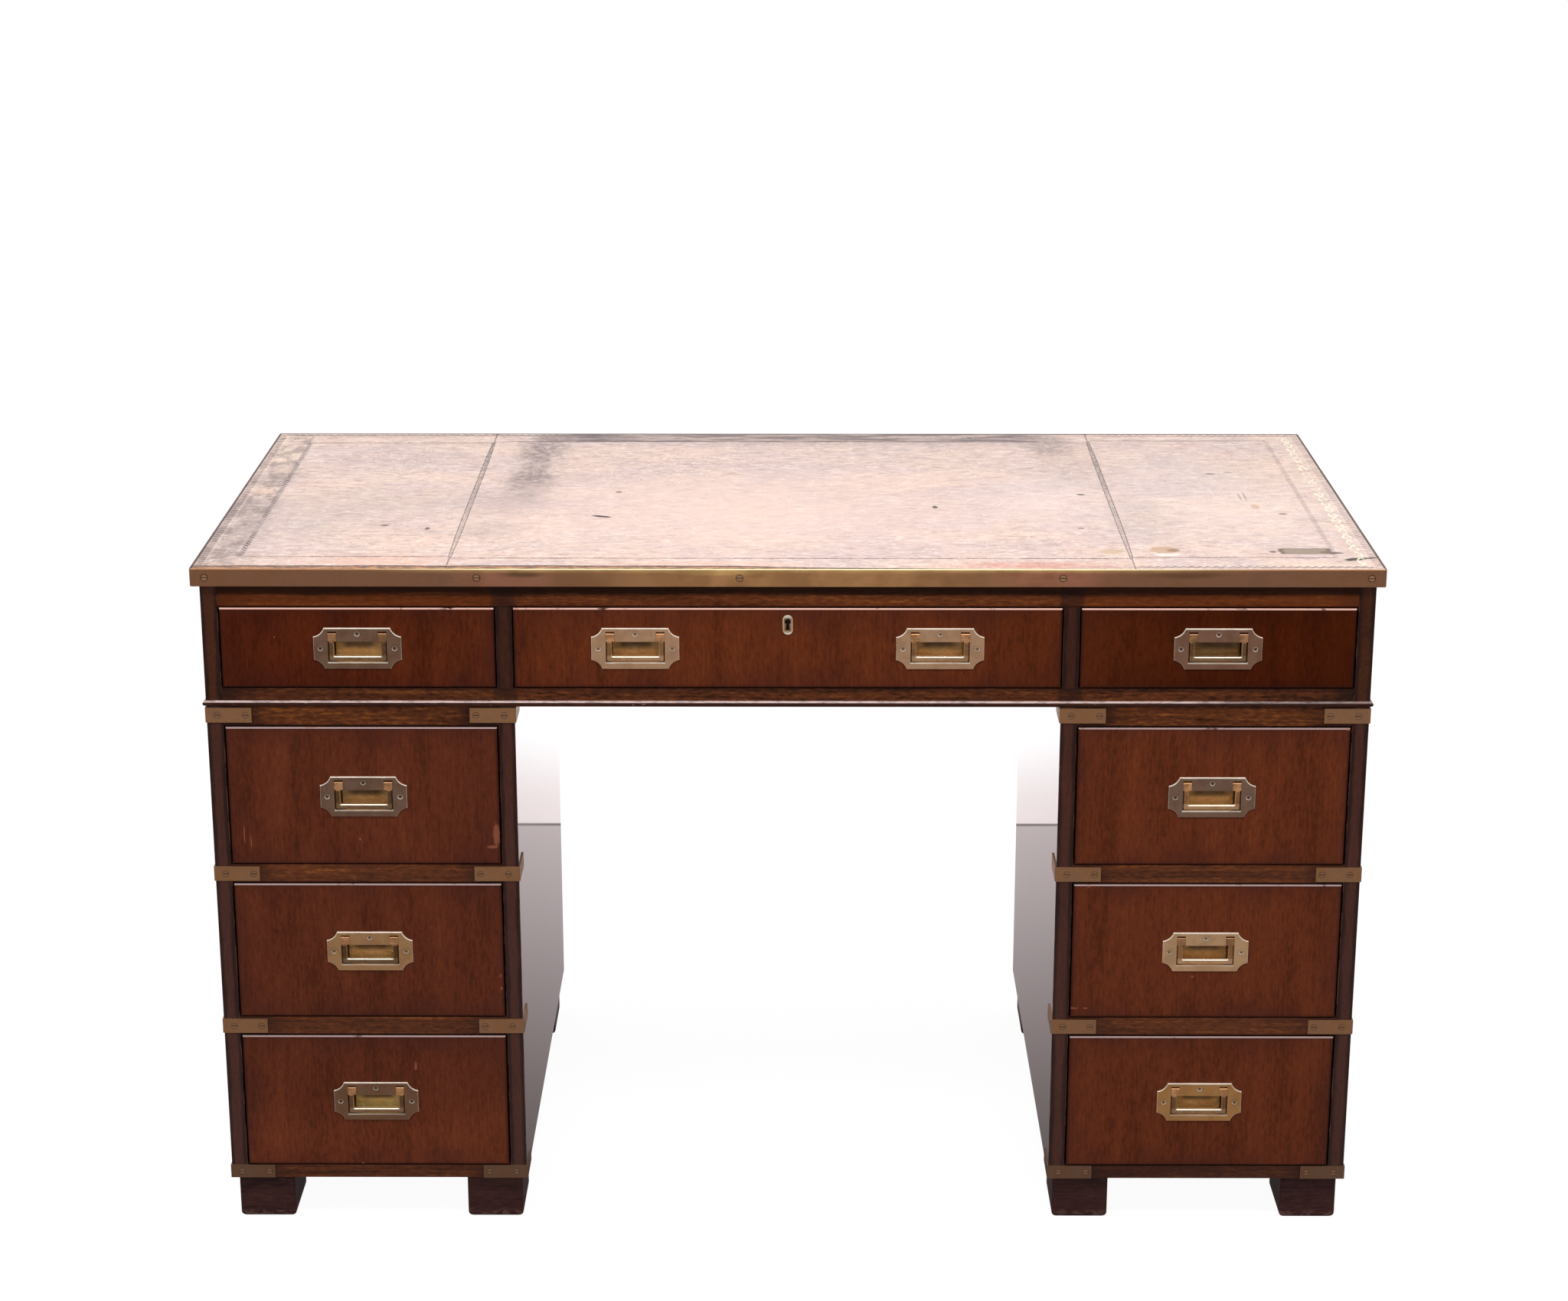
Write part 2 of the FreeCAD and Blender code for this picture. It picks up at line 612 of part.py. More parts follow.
BAND_END = "(top_width / 2 - band_screw_end)"
FRONT_SCREWS = [f"-{BAND_END}", "-band_screw_left", "-band_screw_middle",
                "band_screw_right", BAND_END]
BACK_SCREWS = [f"-{BAND_END}", "-band_screw_back", "band_screw_back", BAND_END]
SIDE_SCREWS = ["-band_screw_side", "0", "band_screw_side"]


def band_screws():
    """Screws through each strip of the band, and the holes for them."""
    screw = countersunk_form("band_screw", "band_head_radius", True)
    hole = countersunk_form("band_hole", "band_head_radius", False)
    middle = f"({BOARD_BOTTOM} + {BOARD_TOP}) / 2"
    edges = [
        ("front", 0.0, [(x, "-top_depth / 2") for x in FRONT_SCREWS]),
        ("back", 180.0, [(x, "top_depth / 2") for x in BACK_SCREWS]),
        ("left", -90.0, [("-top_width / 2", y) for y in SIDE_SCREWS]),
        ("right", 90.0, [("top_width / 2", y) for y in SIDE_SCREWS]),
    ]
    screws, holes = [], []
    for word, turn, places in edges:
        row_holes = []
        for number, (x, y) in enumerate(places):
            screws.append(group(f"{word}_band_screw_{number}", [screw], x, y, middle, turn))
            row_holes.append(group(f"{word}_band_hole_{number}", [hole], x, y, middle, turn))
        holes.append(group(f"{word}_band_holes", row_holes))
    return screws, holes


def bead_moulding():
    """Half-round moulding along the foot of the top unit, front and sides, mitred."""
    swell = "bead_height / 2"
    block = box("bead_block", (f"-{OUTER} - {swell}", f"{OUTER} + {swell}"),
                (f"{FRONT} - {swell}", f"{BACK} + {swell}"),
                (f"{PEDESTAL_TOP} + bead_lift", f"{PEDESTAL_TOP} + bead_lift + bead_height"))
    full_round = value("bead_height") / 2 - 0.02
    soft = rounded("bead_soft", block, [(full_round, on_outer_top_or_bottom)])
    level = (PEDESTAL_TOP, f"{PEDESTAL_TOP} + 2 * bead_height")
    body = box("bead_carcase", (f"-{OUTER}", OUTER), (FRONT, f"{BACK} + 1"), level)
    behind = box("bead_behind", ("-top_width", "top_width"), (BACK, f"{BACK} + top_depth"), level)
    ring = cut("bead_ring", soft, [body, behind])
    regions = [
        ("front", ("-top_width", "top_width"), (f"{FRONT} - top_depth", FRONT)),
        ("left", ("-top_width", "0"), (FRONT, f"{BACK} + 1")),
        ("right", ("0", "top_width"), (FRONT, f"{BACK} + 1")),
    ]
    strips = []
    for word, x, y in regions:
        strips.append(common(f"{word}_bead", ring, box(f"{word}_bead_region", x, y, level)))
    group("bead_moulding", strips)


# ---------------------------------------------------------------- handles
# Each handle is drawn about the middle of its plate, with the drawer's face at y = 0.

HINGE_Y = "(knuckle_half - knuckle_proud - plate_thickness)"
POCKET_TOP = "(knuckle_height + knuckle_half + knuckle_crown_gap)"


def handle_plate_form(screw_holes):
    """Plate with hollow corners, opening for the bail, and two lugs behind its tongue."""
    blank = box("plate_blank", ("-plate_width / 2", "plate_width / 2"),
                ("-plate_thickness", "0"), ("-plate_height / 2", "plate_height / 2"))
    chord = "sqrt(notch_width ^ 2 + notch_height ^ 2)"
    height = "sqrt(notch_radius ^ 2 - (notch_width ^ 2 + notch_height ^ 2) / 4)"
    in_x = f"(notch_width / 2 - notch_height * {height} / {chord})"
    in_z = f"(notch_height / 2 - notch_width * {height} / {chord})"
    corners = []
    for side in (-1, 1):
        for end in (-1, 1):
            corners.append(round_bar(f"plate_corner_{len(corners)}", "notch_radius",
                                     "plate_thickness + 2", "y",
                                     x=f"{side} * (plate_width / 2 - {in_x})",
                                     y="-plate_thickness - 1",
                                     z=f"{end} * (plate_height / 2 - {in_z})"))
    outline = cut("plate_outline", blank, corners)
    softened = rounded("plate_softened", outline, [
        (value("plate_edge_round"), on_face_front),
    ])
    through = ("-plate_thickness - 1", "1")
    openings = [box("plate_window", ("-recess_half_width", "recess_half_width"), through,
                    ("-recess_floor", "tongue_bottom"))]
    lugs = []
    for side, word in ((-1, "left"), (1, "right")):
        openings.append(box(f"{word}_knuckle_notch",
                            mirrored_span(side, "tongue_half_width", "recess_half_width"),
                            through, ("0", POCKET_TOP)))
        lug = box(f"{word}_lug_block",
                  mirrored_span(side, "tongue_half_width - lug_width", "tongue_half_width"),
                  ("0", f"{HINGE_Y} + 3 * pin_radius"),
                  ("knuckle_height - 3 * pin_radius", "knuckle_height + 3 * pin_radius"))
        lugs.append(lug)
    opened = cut("plate_opened", softened, openings)
    bored = cut("plate_bored", fuse("plate_with_lugs", [opened] + lugs), hinge_pins("pin_bore"))
    return cut("plate_drilled", bored, screw_holes)


def hinge_pins(word):
    """Pin through each knuckle, from its lug to the outside of the cup."""
    pins = []
    for side, start in ((-1, "-recess_half_width - cup_wall"),
                        (1, "tongue_half_width - lug_width")):
        pins.append(round_bar(f"{word}_{len(pins)}", "pin_radius",
                              "recess_half_width + cup_wall - tongue_half_width + lug_width",
                              "x", x=start, y=HINGE_Y, z="knuckle_height"))
    return pins


def handle_cup_form():
    """Sheet-brass cup behind the plate's opening."""
    outer = box("cup_outer", ("-recess_half_width - cup_wall", "recess_half_width + cup_wall"),
                ("0", "cup_depth + cup_wall"),
                ("-recess_floor - cup_wall", f"{POCKET_TOP} + cup_wall"))
    inner = box("cup_inner", ("-recess_half_width", "recess_half_width"),
                ("-cup_depth", "cup_depth"), ("-recess_floor", POCKET_TOP))

    def at_back(middle, along, bounds):
        return abs(middle.y - bounds.YMax) < NEAR

    outer_soft = rounded("cup_outer_soft", outer, [(value("cup_round") + value("cup_wall"), at_back)])
    inner_soft = rounded("cup_inner_soft", inner, [(value("cup_round"), at_back)])
    return cut("cup", outer_soft, [inner_soft] + hinge_pins("cup_bore"))


def bail_form():
    """Bail: a square-cornered loop hung from two square knuckles."""
    arm_in = "(bail_half_width - bail_bar)"
    drop = "(knuckle_height - bail_drop)"
    outline = [
        ("-bail_half_width", "knuckle_height"), ("-bail_half_width", drop),
        ("bail_half_width", drop), ("bail_half_width", "knuckle_height"),
        (arm_in, "knuckle_height"), (arm_in, f"{drop} + bail_bar"),
        (f"-{arm_in}", f"{drop} + bail_bar"), (f"-{arm_in}", "knuckle_height"),
    ]
    flat = padded("bail_blank", "XZ_Plane", outline, "bail_thickness", reverse=True)
    bind(flat, {"Placement.Base.y": "bail_sink - plate_thickness"})

    def below_hinge(middle, along, bounds):
        return middle.z < bounds.ZMax - NEAR

    def along_hinge(middle, along, bounds):
        return abs(along.y) < NEAR and abs(along.z) < NEAR

    loop = rounded("bail_loop", flat, [(value("bail_round"), below_hinge)])
    knuckles, bores = [], []
    for side, word in ((-1, "left"), (1, "right")):
        start, stop = mirrored_span(side, "tongue_half_width + knuckle_play",
                                    "recess_half_width - knuckle_play")
        block = box(f"{word}_knuckle_block", (start, stop),
                    (f"{HINGE_Y} - knuckle_half", f"{HINGE_Y} + knuckle_half"),
                    ("knuckle_height - knuckle_half", "knuckle_height + knuckle_half"))
        knuckles.append(rounded(f"{word}_knuckle", block, [(value("knuckle_round"), along_hinge)]))
        bores.append(round_bar(f"{word}_knuckle_bore", "pin_radius + pin_play",
                               f"({stop}) - ({start}) + 2", "x", x=f"{start} - 1",
                               y=HINGE_Y, z="knuckle_height"))
    return cut("bail_form", fuse("bail_joined", [loop] + knuckles), bores)


def handle_screws(word, slotted):
    """One screw at each end of the plate and one in its tongue."""
    form = countersunk_form(f"{word}_form", "handle_head_radius", slotted)
    places = [("-handle_screw_side", "0"), ("handle_screw_side", "0"), ("0", "handle_screw_top")]
    return [group(f"{word}_{number}", [form], x=x, y="-plate_thickness", z=z)
            for number, (x, z) in enumerate(places)]


# ---------------------------------------------------------------- lock of the wide drawer
# Drawn in the wide drawer's frame: its face at y = 0, the floor of its opening at z = 0.

FRONT_TOP = "(unit_opening - front_gap)"
KEY_Z = f"({FRONT_TOP} - escutcheon_drop)"
LOCK_FRONT = "(front_thickness - lock_depth)"
BOLT_IN_DRAWER = f"({LOCK_FRONT} + lock_depth / 2 - bolt_thickness / 2)"
BOLT_FRONT = f"({DRAWER_FACE} + {BOLT_IN_DRAWER})"


def keyhole(name, start, stop):
    """Keyhole right through, from one Y place to another."""
    centre = f"{KEY_Z} + keyhole_rise"
    ring = round_bar(f"{name}_round", "keyhole_radius", f"({stop}) - ({start})", "y",
                     y=start, z=centre)
    slot = box(f"{name}_slot", ("-keyhole_slot / 2", "keyhole_slot / 2"), (start, stop),
               (f"{centre} - keyhole_reach", centre))
    return fuse(name, [ring, slot])


def lock_pieces():
    """Escutcheon, lock case and bolt."""
    straight = "(escutcheon_height - escutcheon_width) / 2"
    plate = [box("escutcheon_bar", ("-escutcheon_width / 2", "escutcheon_width / 2"),
                 ("-escutcheon_thickness", "0"),
                 (f"{KEY_Z} - {straight}", f"{KEY_Z} + {straight}"))]
    for word, z in (("upper", f"{KEY_Z} + {straight}"), ("lower", f"{KEY_Z} - {straight}")):
        plate.append(round_bar(f"escutcheon_{word}", "escutcheon_width / 2",
                               "escutcheon_thickness", "y", y="-escutcheon_thickness", z=z))
    shield = cut("escutcheon_form", fuse("escutcheon_blank", plate),
                 [keyhole("escutcheon_keyhole", "-escutcheon_thickness - 1", "1")])

    case_block = box("lock_block", ("-lock_width / 2", "lock_width / 2"),
                     (LOCK_FRONT, "front_thickness"), (f"{FRONT_TOP} - lock_height", FRONT_TOP))
    hollow = box("lock_hollow", ("-lock_width / 2 + lock_wall", "lock_width / 2 - lock_wall"),
                 (f"{LOCK_FRONT} + lock_wall", "front_thickness - lock_wall"),
                 (f"{FRONT_TOP} - lock_height + lock_wall", f"{FRONT_TOP} - lock_wall"))
    way = box("bolt_way", ("-bolt_width / 2 - bolt_play", "bolt_width / 2 + bolt_play"),
              (f"{BOLT_IN_DRAWER} - bolt_play", f"{BOLT_IN_DRAWER} + bolt_thickness + bolt_play"),
              (f"{FRONT_TOP} - 2 * lock_wall", f"{FRONT_TOP} + 1"))
    key_way = keyhole("case_keyhole", f"{LOCK_FRONT} - 1", f"{LOCK_FRONT} + 2 * lock_wall")
    case = cut("lock_case_form", case_block, [hollow, way, key_way])
    bolt = box("bolt_form", ("-bolt_width / 2", "bolt_width / 2"),
               (BOLT_IN_DRAWER, f"{BOLT_IN_DRAWER} + bolt_thickness"),
               (f"{FRONT_TOP} - bolt_height", FRONT_TOP))
    place = {"y": DRAWER_FACE, "z": BASE_TOP}
    group("escutcheon", [shield], **place)
    group("lock_case", [case], **place)
    group("lock_bolt", [bolt], **place)


# ---------------------------------------------------------------- drawers

def drawer_forms(word, width, height, handle_places, locked):
    """Front and box of one size of drawer, about the middle of its opening's floor."""
    blank = box(f"{word}_front_blank",
                (f"-({width}) / 2 + front_side_gap", f"({width}) / 2 - front_side_gap"),
                ("0", "front_thickness"), ("front_gap", f"({height}) - front_gap"))
    soft = rounded(f"{word}_front_soft", blank, [(value("front_round"), on_face_front)])
    pockets = []
    for number, x in enumerate(handle_places):
        half = "recess_half_width + cup_wall + cup_play"
        pockets.append(box(f"{word}_pocket_{number}", (f"{x} - ({half})", f"{x} + ({half})"),
                           ("-1", "cup_depth + cup_wall + cup_play"),
                           (f"({height}) / 2 - recess_floor - cup_wall - cup_play",
                            f"({height}) / 2 + {POCKET_TOP} + cup_wall + cup_play")))
    if locked:
        pockets.append(box("lock_pocket", ("-lock_width / 2", "lock_width / 2"),
                           (LOCK_FRONT, "front_thickness + 1"),
                           (f"{FRONT_TOP} - lock_height", f"{FRONT_TOP} + 1")))
        pockets.append(keyhole("front_keyhole", "-1", f"{LOCK_FRONT} + 1"))
    front = cut(f"{word}_front_form", soft, pockets)

    half = f"(({width}) / 2 - drawer_play)"
    rear = f"({LINING_BACK} - drawer_rear_gap - {DRAWER_FACE})"
    side_top = f"({height}) - drawer_side_drop"
    boards = []
    for side, hand in ((-1, "left"), (1, "right")):
        boards.append(box(f"{word}_{hand}_drawer_side",
                          mirrored_span(side, f"{half} - drawer_side", half),
                          ("front_thickness", rear), ("slide_gap", side_top)))
    between = (f"-{half} + drawer_side", f"{half} - drawer_side")
    floor_bottom = "slide_gap + drawer_bottom_lift"
    boards.append(box(f"{word}_drawer_floor", between, ("front_thickness", rear),
                      (floor_bottom, f"{floor_bottom} + drawer_bottom")))
    boards.append(box(f"{word}_drawer_back", between, (f"{rear} - drawer_side", rear),
                      (f"{floor_bottom} + drawer_bottom", side_top)))
    return front, boards


PEDESTAL_WIDTH_INSIDE = "(pedestal_width - 2 * side_thickness)"
SIDE_BAY = f"({WALL_OUTER} - divider_place - divider_thickness / 2)"
SIDE_BAY_MIDDLE = f"(({WALL_OUTER} + divider_place + divider_thickness / 2) / 2)"
WIDE_BAY = "(2 * divider_place - divider_thickness)"


def drawers():
    """Nine drawers with their handles, and the lock of the wide one."""
    pedestal = drawer_forms("pedestal", PEDESTAL_WIDTH_INSIDE, PEDESTAL_OPENING, ["0"], False)
    narrow = drawer_forms("narrow", SIDE_BAY, "unit_opening", ["0"], False)
    wide_handles = ["-handle_spread", "handle_spread"]
    wide = drawer_forms("wide", WIDE_BAY, "unit_opening", wide_handles, True)
    lock_pieces()

    screws = handle_screws("handle_screw", True)
    holes = handle_screws("handle_hole", False)
    fixed = [handle_plate_form(holes), handle_cup_form()] + hinge_pins("hinge_pin") + screws
    bail = bail_form()

    places = [
        ("top_left", narrow, f"-{SIDE_BAY_MIDDLE}", BASE_TOP, "unit_opening", ["0"]),
        ("top_middle", wide, "0", BASE_TOP, "unit_opening", wide_handles),
        ("top_right", narrow, SIDE_BAY_MIDDLE, BASE_TOP, "unit_opening", ["0"]),
    ]
    for drawer, level in ((1, "upper"), (2, "middle"), (3, "lower")):
        for side, word in ((-1, "left"), (1, "right")):
            places.append((f"{word}_{level}", pedestal, f"{side} * {PEDESTAL_MIDDLE}",
                           opening_bottom(drawer), PEDESTAL_OPENING, ["0"]))
    for word, (front, boards), x, z, height, handles in places:
        group(f"{word}_front", [front], x=x, y=DRAWER_FACE, z=z)
        group(f"{word}_box", boards, x=x, y=DRAWER_FACE, z=z)
        plates = []
        for number, offset in enumerate(handles):
            spot = {"x": f"{x} + {offset}", "y": DRAWER_FACE, "z": f"{z} + {height} / 2"}
            plates.append(group(f"{word}_handle_set_{number}", fixed, **spot))
            hand = "" if len(handles) == 1 else ("_a", "_b")[number]
            group(f"{word}_bail{hand}", [bail], **spot)
        group(f"{word}_handle", plates)


# ---------------------------------------------------------------- the whole desk

NODES = [
    "pedestal_sides", "pedestal_backs", "pedestal_tops", "pedestal_bottoms", "pedestal_rails",
    "drawer_runners", "block_feet", "corner_straps", "strap_screws", "locating_dowels",
    "unit_sides", "unit_back", "unit_rails", "unit_dividers", "base_board", "bead_moulding",
    "top_board", "leather_panels", "edge_band", "band_screws",
    "escutcheon", "lock_case", "lock_bolt",
    "top_middle_bail_a", "top_middle_bail_b",
]
SINGLE_DRAWERS = ["top_left", "top_right", "left_upper", "left_middle", "left_lower",
                  "right_upper", "right_middle", "right_lower"]
NODES += [f"{word}_bail" for word in SINGLE_DRAWERS]
for word in ["top_middle"] + SINGLE_DRAWERS:
    NODES += [f"{word}_front", f"{word}_box", f"{word}_handle"]

pedestal_boards()
corner_straps()
top_unit_boards()
writing_surface()
bead_moulding()
drawers()
doc.recompute()

for item in doc.Objects:
    if "Invalid" in item.State or "Error" in item.State:
        raise RuntimeError(f"{item.Label} failed: {item.State}")

os.makedirs("parts", exist_ok=True)
for node in NODES:
    item = doc.getObject(node)
    shape = item.Shape
    if shape.isNull() or not shape.isValid() or not shape.Solids:
        raise RuntimeError(f"{node} has no valid solid")
    item.Label = node
    shape.exportStep(f"parts/{node}.step")
    box_size = shape.BoundBox
    print(f"{node}: {len(shape.Solids)} solids, {shape.Volume / 1000:.1f} cm3, "
          f"{box_size.XLength:.1f} x {box_size.YLength:.1f} x {box_size.ZLength:.1f}")
print(len(NODES), "nodes")
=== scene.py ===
# %% [markdown]
# # A campaign desk: mahogany, aged brass and tooled leather
#
# A campaign desk came apart for travel: a top unit with three drawers lifts off two pedestals
# with three drawers each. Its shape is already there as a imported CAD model, so this lesson is
# about surfaces: how polish, grain, tarnish and worn leather are made from a few shader nodes.
# Everything is in metres: X to the right, Y to the back, Z up, the floor at zero.

# %% Load the desk
import bpy
import math
import numpy as np
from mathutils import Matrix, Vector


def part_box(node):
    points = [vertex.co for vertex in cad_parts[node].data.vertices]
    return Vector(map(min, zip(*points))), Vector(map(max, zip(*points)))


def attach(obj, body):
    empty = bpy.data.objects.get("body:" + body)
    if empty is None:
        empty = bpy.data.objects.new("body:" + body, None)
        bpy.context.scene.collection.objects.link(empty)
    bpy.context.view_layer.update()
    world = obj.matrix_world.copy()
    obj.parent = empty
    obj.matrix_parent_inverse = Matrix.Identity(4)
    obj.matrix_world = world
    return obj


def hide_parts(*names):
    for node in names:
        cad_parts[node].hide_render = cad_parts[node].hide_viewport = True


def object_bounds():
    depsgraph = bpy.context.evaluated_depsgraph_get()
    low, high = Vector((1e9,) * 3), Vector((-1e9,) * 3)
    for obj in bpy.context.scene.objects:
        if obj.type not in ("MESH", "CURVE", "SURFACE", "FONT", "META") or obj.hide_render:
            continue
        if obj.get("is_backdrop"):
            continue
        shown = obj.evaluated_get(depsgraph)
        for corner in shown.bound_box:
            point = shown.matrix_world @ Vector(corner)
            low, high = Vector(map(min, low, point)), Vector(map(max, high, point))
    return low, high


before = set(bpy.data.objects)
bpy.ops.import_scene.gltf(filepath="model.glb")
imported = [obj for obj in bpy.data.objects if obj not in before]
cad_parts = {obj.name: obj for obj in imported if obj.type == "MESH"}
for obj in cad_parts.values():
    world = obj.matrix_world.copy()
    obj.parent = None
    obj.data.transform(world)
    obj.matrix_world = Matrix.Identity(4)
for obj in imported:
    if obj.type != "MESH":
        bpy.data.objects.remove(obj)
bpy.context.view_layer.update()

# %% [markdown]
# ## The camera
#
# Straight edges such as the front of the top and the sides of the pedestals fix where a camera
# must have stood. Here it is a long lens, about three and a half metres away, at eye height.

# %% Camera
camera = bpy.data.objects.new("camera", bpy.data.cameras.new("camera"))
bpy.context.scene.collection.objects.link(camera)
camera.data.sensor_width = 36.0
camera.data.lens = 72.44
camera.location = (0.0058, -3.5288, 1.6748)
camera.rotation_euler = (math.radians(72.796), 0.0, math.radians(0.173))
bpy.context.scene.camera = camera
print("lens:", camera.data.lens, "mm")

# %% [markdown]
# ## Sums in a shader
#
# A procedural finish is mostly arithmetic: how far is this point from the edge, how much darker
# should the wood be there. Wiring a Math node for every sign is slow to read, so a small class
# stands for the output of a node, and Python's signs add the nodes. Colours need Mix nodes,
# because a Math node would turn them grey.

# %% A reading from the shader
class Reading:
    """Output of a shader node. The signs + - * and abs() on it add Math nodes to its finish."""

    def __init__(self, finish, socket):
        self.finish = finish
        self.socket = socket

    def work(self, operation, *numbers):
        """A Math node with the readings or numbers as its inputs."""
        return self.finish.node("Math", {"operation": operation}, numbers)

    def __add__(self, other):
        return self.work("ADD", self, other)

    def __sub__(self, other):
        return self.work("SUBTRACT", self, other)

    def __rsub__(self, other):
        return self.work("SUBTRACT", other, self)

    def __mul__(self, other):
        return self.work("MULTIPLY", self, other)

    def __abs__(self):
        return self.work("ABSOLUTE", self)

    def least(self, other):
        return self.work("MINIMUM", self, other)

    def most(self, other):
        return self.work("MAXIMUM", self, other)

    def wave(self, length):
        """Sine that repeats after that length, from -1 to 1."""
        return self.work("SINE", self * (2 * math.pi / length))


def tint(red, green, blue):
    """Colour from the 0 to 255 values that a screen shows, turned into amounts of light."""
    shown = np.array([red, green, blue]) / 255
    light = np.where(shown <= 0.04045, shown / 12.92, ((shown + 0.055) / 1.055) ** 2.4)
    return (*light.tolist(), 1.0)


def scaled(colour, factor):
    """The same hue with more or less light, never more than all of it."""
    return [min(1.0, part * factor) for part in colour[:3]] + [1]


def squared(reading):
    return reading * reading


print("mid grey as light:", round(tint(128, 128, 128)[0], 3))

# %% [markdown]
# ## A finish
#
# Each finish is one material with a Principled shader. What is the same all over, such as how
# hard the varnish is, is set on the shader. What changes from place to place is built from a
# few patterns: noise stretched along the grain, a fade from one distance to another, spots for
# single marks. Patterns read Object coordinates, here real metres.

# %% A finish and its patterns
class Finish:
    """A material under construction: node() adds any node, the rest are patterns made of it."""

    def __init__(self, name, constants=None):
        self.material = bpy.data.materials.new(name)
        self.material.use_nodes = True
        self.tree = self.material.node_tree
        self.tree.nodes.clear()
        self.shader = self.tree.nodes.new("ShaderNodeBsdfPrincipled")
        self.surface = self.tree.nodes.new("ShaderNodeOutputMaterial").inputs["Surface"]
        self.tree.links.new(self.shader.outputs[0], self.surface)
        for socket, number in (constants or {}).items():
            self.shader.inputs[socket].default_value = number
        self.colour = None

    def node(self, kind, settings=None, inputs=(), output=0):
        """Node of a type; settings come first, then numbers or readings for its sockets."""
        made = self.tree.nodes.new("ShaderNode" + kind)
        for name, setting in (settings or {}).items():
            setattr(made, name, setting)
        given = inputs if isinstance(inputs, dict) else dict(enumerate(inputs))
        for socket, content in given.items():
            if isinstance(content, Reading):
                self.tree.links.new(content.socket, made.inputs[socket])
            elif content is not None:
                made.inputs[socket].default_value = content
        return Reading(self, made.outputs[output])

    def at(self, centre=(0, 0, 0), cell=(1, 1, 1), turn=0.0):
        """Place on the desk, counted from a centre in cells of a given size, turned about Z."""
        place = self.node("TexCoord", output="Object")
        return self.node("Mapping", {"vector_type": "TEXTURE"},
                         (place, tuple(centre), (0, 0, turn), tuple(cell)))

    def along(self, axis, centre=(0, 0, 0)):
        """Distance in metres from a centre along one axis."""
        return self.node("SeparateXYZ", inputs=(self.at(centre),), output=axis)

    def noise(self, cell, detail=2.0, rough=0.5, wander=0.0, centre=(0, 0, 0)):
        """Cloudy pattern from 0 to 1 whose patches have the size of the cell."""
        return self.node("TexNoise", inputs={
            "Vector": self.at(centre, cell), "Scale": 1.0, "Detail": detail,
            "Roughness": rough, "Distortion": wander})

    def fade(self, reading, empty, full):
        """0 where the reading is at empty, 1 where it is at full, smooth between."""
        return self.node("MapRange", {"interpolation_type": "SMOOTHSTEP"},
                         {"Value": reading, "From Min": empty, "From Max": full})

    def mix(self, amount, below, above, how="MIX"):
        """One colour laid over another by an amount."""
        return self.node("Mix", {"data_type": "RGBA", "blend_type": how},
                         {0: amount, 6: below, 7: above}, output=2)

    def stain(self, amount, colour, how="MIX"):
        """Lays a colour over what the finish has so far, by an amount."""
        self.colour = self.mix(amount, self.colour, colour, how)

    def between(self, amount, low, high):
        """A number on the way from low to high by an amount."""
        return self.node("Mix", {"data_type": "FLOAT"}, {0: amount, 2: low, 3: high})

    def spot(self, centre, reach, turn=0.0, ragged=0.5, rim=0.35):
        """Mask of one mark: a flattened ball with a ragged rim; a wide rim makes it soft."""
        away = self.node("VectorMath", {"operation": "LENGTH"},
                         (self.at(centre, reach, turn),), output="Value")
        torn = self.noise([max(0.0012, size * 0.3) for size in reach], detail=5, rough=0.65)
        return self.fade(away + (torn - 0.5) * (2 * ragged), 1.1, 1.1 - rim)

    def feed(self, socket, reading):
        self.tree.links.new(reading.socket, self.shader.inputs[socket])

    def relief(self, height, depth):
        """Small bumps: a height from 0 to 1 stands for the depth in metres."""
        bump = self.node("Bump", inputs={"Height": height, "Distance": depth})
        self.feed("Normal", bump)


def dress(finish, *names):
    """Gives CAD nodes a finish through their material slots."""
    for name in names:
        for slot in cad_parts[name].material_slots:
            slot.material = finish.material


print("finish helpers ready")

# %% [markdown]
# ## Mahogany
#
# Mahogany is a fine red-brown wood. Close up it shows short dark pores that all run with the
# grain; further away, thin streaks and broad bands of lighter and darker wood. A picture of
# wood would repeat and blur, so noises are stretched along the grain instead: a pore is one
# millimetre wide, a streak two, the mottle three, a band three centimetres. The polish is a
# satin base under a thin clear coat.

# %% Grain
def stretched(along, across, length):
    """Size of a pattern's patch that is drawn out along one axis."""
    cell = [across] * 3
    cell["XYZ".index(along)] = length
    return cell


class Timber(Finish):
    """Finish with grain along one axis, from three tones: dark, middle and light."""

    def __init__(self, name, along, tones, band=0.028, constants=None):
        super().__init__(name, constants)
        bands = self.noise(stretched(along, band, 0.30), 3.0, 0.55, 0.5)
        streaks = self.noise(stretched(along, 0.0024, 0.045), 4.0, 0.62)
        mottle = self.noise(stretched(along, 0.0030, 0.010), 3.0, 0.6)
        pores = self.noise(stretched(along, 0.0009, 0.005), 1.0)
        self.pores = self.fade(pores, 0.58, 0.72)
        figure = bands * 0.36 + streaks * 0.26 + mottle * 0.38
        dark, middle, light = tones
        self.colour = self.mix(self.fade(figure, 0.38, 0.52), dark, middle)
        self.stain(self.fade(figure, 0.50, 0.66), light)
        self.stain(self.pores * 0.3, scaled(dark, 0.35))
        self.streaks = streaks

    def polish(self, satin, spread=0.10):
        """Joins colour, sheen and the small relief of streaks and pores to the shader."""
        self.feed("Base Color", self.colour)
        self.feed("Roughness", self.streaks * spread + (satin - spread / 2))
        self.relief(self.streaks * 0.6 - self.pores * 0.8, 0.00005)


